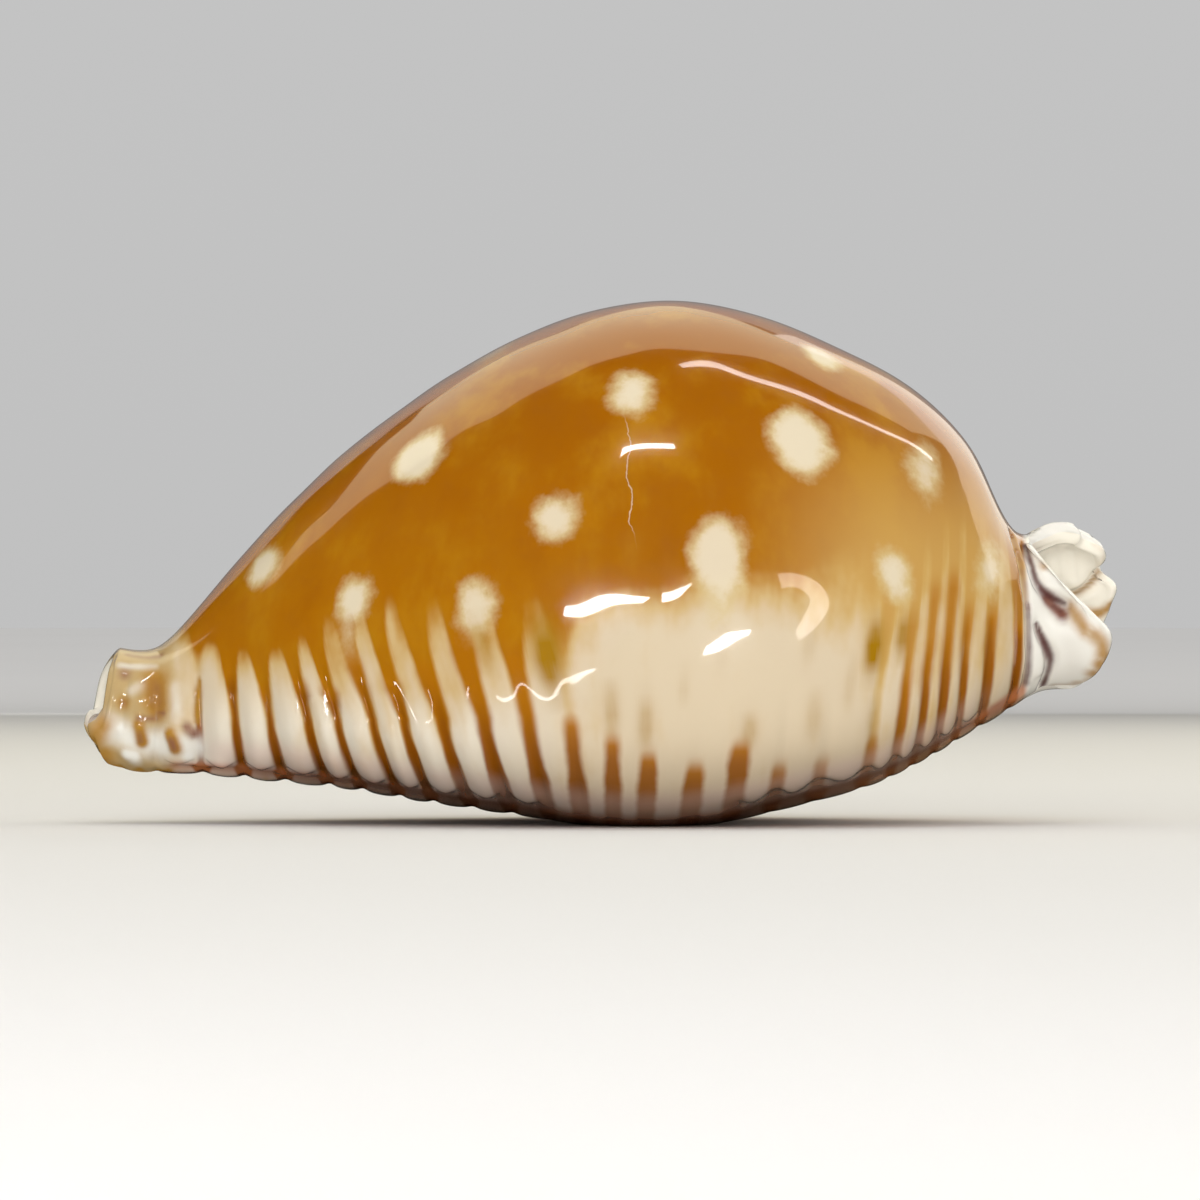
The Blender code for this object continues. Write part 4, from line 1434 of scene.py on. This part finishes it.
@dataclass(frozen=True)
class Lamp:
    """A large soft rectangular lamp that faces the shell, and that its gloss doesn't mirror.

    Attributes:
        name: The lamp's name.
        azimuth: Degrees from the camera's side (-Y) towards +X.
        elevation: Degrees above the horizon.
        distance: Metres from the shell.
        width: Metres across.
        height: Metres up and down.
        radiance: How bright its face is.
        colour: The linear colour of its light.
    """

    name: str
    azimuth: float
    elevation: float
    distance: float
    width: float
    height: float
    radiance: float
    colour: Colour = (1.0, 0.98, 0.95)

    def build(self) -> bpy.types.Object:
        """Makes the area lamp, turned so that its face looks at the shell's middle."""
        data = bpy.data.lights.new(self.name, "AREA")
        data.shape = "RECTANGLE"
        data.size, data.size_y = self.width, self.height
        data.energy = self.radiance * math.pi * self.width * self.height
        data.color = self.colour
        lamp = bpy.data.objects.new(self.name, data)
        a, e = math.radians(self.azimuth), math.radians(self.elevation)
        way = Vector((math.sin(a) * math.cos(e), -math.cos(a) * math.cos(e), math.sin(e)))
        lamp.location = Vector((0.0, 0.0, SHELL_MIDDLE)) + way * self.distance
        lamp.rotation_euler = way.to_track_quat("Z", "Y").to_euler()
        lamp.visible_camera = False
        lamp.visible_glossy = False
        bpy.context.scene.collection.objects.link(lamp)
        return lamp


@dataclass(frozen=True)
class LightStrip:
    """A glowing strip on a wide cylinder round the shell, which its gloss mirrors.

    Attributes:
        name: The strip's name.
        low: Its lower edge, as places along the cylinder over its radius, and degrees round
            it from the horizon behind the shell (0) over the top (90) to the camera's (180).
        high: Its upper edge, with as many places.
        dim: How bright it is along the lower edge.
        bright: How bright it is along the upper edge.
        colour: The linear colour of its light.
        radius: The cylinder's radius in metres. The axis runs along X through the shell.
        steps: How many pieces each knot's stretch is cut into.
    """

    name: str
    low: Pairs
    high: Pairs
    dim: float
    bright: float
    colour: Colour = (1.0, 1.0, 1.0)
    radius: float = 0.5
    steps: int = 6

    def build(self) -> bpy.types.Object:
        """Makes the strip: straight lines across between its two edges, each a smooth line.

        Returns:
            The strip, which the gloss mirrors but the camera doesn't see.
        """
        count = len(self.low)
        fine = np.linspace(0, count - 1, self.steps * (count - 1) + 1)
        edges = []
        for edge in (self.low, self.high):
            lines = [SmoothLine(tuple(enumerate(values))) for values in zip(*edge)]
            edges.append(np.stack([one(fine) for one in lines], axis=1))
        share = np.linspace(0, 1, 2 * self.steps + 1)[:, None, None]
        place, angle = np.moveaxis(edges[0] + share * (edges[1] - edges[0]), 2, 0)
        angle = np.radians(angle)
        points = self.radius * np.stack([place, np.cos(angle), np.sin(angle)], axis=2)
        points[..., 2] += SHELL_MIDDLE
        rows, size = place.shape
        here = ((np.arange(rows - 1) * size)[:, None] + np.arange(size - 1)).ravel()
        squares = np.stack([here, here + 1, here + size + 1, here + size], axis=1)
        mesh = bpy.data.meshes.new(self.name)
        mesh.from_pydata(points.reshape(-1, 3).tolist(), [], squares.tolist())
        glow = mesh.attributes.new("glow", "FLOAT", "POINT")
        values = np.repeat(self.dim + (self.bright - self.dim) * share.ravel(), size)
        glow.data.foreach_set("value", values.astype(np.float32))
        sheet = Sheet(self.name)
        for socket, value in (("Base Color", (0.0, 0.0, 0.0)), ("Specular IOR Level", 0.0),
                              ("Emission Color", self.colour),
                              ("Emission Strength", sheet.attribute("glow"))):
            sheet.put(sheet.shader.inputs[socket], value)
        mesh.materials.append(sheet.material)
        strip = bpy.data.objects.new(self.name, mesh)
        strip.visible_camera = False
        strip.visible_shadow = False
        bpy.context.scene.collection.objects.link(strip)
        return strip


@dataclass
class Studio:
    """The plain pale floor, the soft surroundings, the lamps and the camera."""

    floor_radius: float = 4.0
    floor_corners: int = 128
    floor_colour: Colour = (0.74, 0.73, 0.715)
    floor_deep: float = 0.97
    floor_cloud: Cloud = Cloud(3.0)
    floor_roughness: float = 0.8
    surround_low: float = 0.53
    surround_high: float = 0.80
    photo_pixel: float = 0.0577
    photo_side: int = 1200
    shell_pixel: tuple[float, float] = (601.0, 823.0)
    lens: float = 300.0
    sensor: float = 36.0
    clip: tuple[float, float] = (0.01, 20.0)
    lamps: tuple[Lamp, ...] = (
        Lamp("front_fill", -8.0, 30.0, 3.0, 3.6, 2.4, 0.52),
        Lamp("low_fill", 20.0, 4.0, 3.0, 2.6, 0.7, 2.7))
    strips: tuple[LightStrip, ...] = (
        LightStrip(
            "band_over_back",
            ((-1.55, 59.6), (-1.3, 57.6), (-1.07, 54.8), (-0.77, 47.6), (-0.48, 37.5),
             (-0.33, 31.0), (-0.14, 33.0), (0.0, 28.5), (0.15, 34.0), (0.25, 37.0),
             (0.42, 40.0), (0.61, 42.0), (0.78, 41.0)),
            ((-1.6, 66.0), (-1.35, 67.0), (-1.15, 67.5), (-0.85, 71.0), (-0.66, 76.0),
             (-0.48, 77.0), (-0.28, 75.5), (-0.10, 73.0), (0.07, 73.5), (0.25, 69.0),
             (0.42, 65.5), (0.63, 63.5), (0.78, 60.0)),
            1.1, 1.35, (1.0, 0.95, 0.70)),
        LightStrip(
            "band_over_rear",
            ((0.22, 29.0), (0.27, 22.0), (0.33, 8.0), (0.45, 9.0), (0.70, 15.0), (1.3, 28.0),
             (2.3, 50.0), (3.4, 62.0)),
            ((0.24, 37.0), (0.33, 38.5), (0.48, 41.0), (0.65, 42.3), (0.85, 41.5), (1.2, 48.0),
             (1.85, 61.0), (3.4, 77.0)),
            1.15, 1.6, (1.0, 0.95, 0.86)),
        LightStrip(
            "strip_over_back",
            ((0.06, 83.5), (0.18, 77.8), (0.27, 79.2), (0.38, 80.0), (0.52, 77.5),
             (0.64, 76.2), (0.76, 72.0), (0.88, 66.0), (1.03, 59.7)),
            ((0.08, 85.5), (0.20, 82.0), (0.27, 83.0), (0.37, 83.4), (0.52, 80.3),
             (0.64, 78.6), (0.77, 74.2), (0.90, 67.8), (1.06, 61.0)),
            7.0, 9.0, (1.0, 0.93, 0.90)),
        LightStrip(
            "bar_middle", ((-0.42, 160.9), (-0.25, 162.2), (-0.09, 161.0)),
            ((-0.41, 158.6), (-0.25, 160.0), (-0.05, 159.4)), 40.0, 40.0),
        LightStrip("bar_dot", ((0.01, 160.2), (0.09, 159.7)), ((0.01, 158.4), (0.12, 158.4)),
                   34.0, 34.0),
        LightStrip(
            "bar_right", ((0.23, 171.6), (0.28, 171.0), (0.33, 170.2), (0.37, 169.6)),
            ((0.24, 170.2), (0.29, 169.0), (0.32, 169.0), (0.39, 168.2)), 36.0, 36.0),
        LightStrip(
            "bar_upper", ((-0.17, 121.2), (-0.13, 119.9), (-0.06, 119.4), (0.04, 119.6)),
            ((-0.16, 118.8), (-0.12, 118.2), (-0.06, 117.9), (0.03, 118.4)), 36.0, 36.0),
        LightStrip(
            "bar_left", ((-0.85, 178.4), (-0.7, 178.3), (-0.45, 178.0), (-0.28, 176.0)),
            ((-0.85, 177.4), (-0.7, 177.2), (-0.45, 177.1), (-0.26, 174.8)), 12.0, 12.0),
        LightStrip("lamp_aside", ((-4.1, 201.0), (-3.3, 201.0)), ((-4.1, 194.0), (-3.3, 194.0)),
                   22.0, 22.0),
        LightStrip("backdrop", ((-1.0, 21.0), (0.2, -3.0), (2.5, -3.0)),
                   ((-1.0, 23.0), (0.2, 34.0), (2.5, 34.0)), 0.12, 0.45, radius=0.55),
        LightStrip(
            "arc_right",
            ((0.60, 156.0), (0.68, 155.0), (0.74, 156.0), (0.78, 159.0), (0.76, 162.5),
             (0.72, 165.0)),
            ((0.58, 152.2), (0.70, 149.8), (0.83, 151.5), (0.92, 157.5), (0.89, 163.6),
             (0.76, 167.0)), 6.0, 6.0, (1.0, 0.90, 0.82)))

    def floor(self) -> bpy.types.Object:
        """A flat pale disc of floor, which the gloss of the shell doesn't mirror."""
        sheet = Sheet("pale_floor")
        deep = tuple(self.floor_deep * value for value in self.floor_colour)
        colour = sheet.mix(self.floor_colour, deep, sheet.noise(self.floor_cloud))
        for socket, value in (("Base Color", colour), ("Roughness", self.floor_roughness),
                              ("Specular IOR Level", 0.0)):
            sheet.put(sheet.shader.inputs[socket], value)
        around = np.linspace(0, 2 * np.pi, self.floor_corners, endpoint=False)
        circle = np.stack([np.cos(around), np.sin(around), 0 * around], axis=1)
        mesh = bpy.data.meshes.new("pale_floor")
        mesh.from_pydata((self.floor_radius * circle).tolist(), [], [list(range(len(circle)))])
        mesh.materials.append(sheet.material)
        floor = bpy.data.objects.new("pale_floor", mesh)
        floor.visible_glossy = False
        bpy.context.scene.collection.objects.link(floor)
        return floor

    def surroundings(self) -> None:
        """A soft light from all round, which the gloss of the shell doesn't mirror.

        It grows from the horizon up with the sine of the height, and is even below.
        """
        world = bpy.data.worlds.new("soft_surroundings")
        world.use_nodes = True
        tree = world.node_tree
        way, parts, glow = (tree.nodes.new(kind) for kind in (
            "ShaderNodeTexCoord", "ShaderNodeSeparateXYZ", "ShaderNodeMapRange"))
        glow.inputs["From Max"].default_value = 1.0
        glow.inputs["To Min"].default_value = self.surround_low
        glow.inputs["To Max"].default_value = self.surround_high
        tree.links.new(way.outputs["Generated"], parts.inputs[0])
        tree.links.new(parts.outputs["Z"], glow.inputs["Value"])
        tree.links.new(glow.outputs["Result"], tree.nodes["Background"].inputs["Color"])
        world.cycles_visibility.glossy = False
        bpy.context.scene.world = world
        bpy.context.scene.view_settings.view_transform = "Standard"

    def camera(self) -> bpy.types.Object:
        """A level camera that frames the shell as the photo does.

        The frame's width is the photo's pixels times the size of one, and the camera stands
        off by that width times its lens over its sensor.

        Returns:
            The camera.
        """
        width = self.photo_side * self.photo_pixel
        distance = width * self.lens / self.sensor
        data = bpy.data.cameras.new("photo_camera")
        data.lens, data.sensor_width = self.lens, self.sensor
        data.clip_start, data.clip_end = self.clip
        camera = bpy.data.objects.new("photo_camera", data)
        half = self.photo_side / 2
        camera.location = ((half - self.shell_pixel[0]) * self.photo_pixel * MM,
                           -distance * MM, (self.shell_pixel[1] - half) * self.photo_pixel * MM)
        camera.rotation_euler = (math.pi / 2, 0.0, 0.0)
        bpy.context.scene.collection.objects.link(camera)
        bpy.context.scene.camera = camera
        return camera

    def build(self) -> None:
        """Sets up the floor, the surroundings, every lamp and the camera."""
        self.floor()
        self.surroundings()
        for light in (*self.lamps, *self.strips):
            light.build()
        self.camera()


def main() -> None:
    """Builds the shell and the studio."""
    logging.basicConfig(level=logging.INFO, format="%(message)s")
    shell = CowrieShell().build()
    LOG.info("%s: %d faces", shell.name, len(shell.data.polygons))
    Studio().build()


if __name__ == "__main__":
    main()
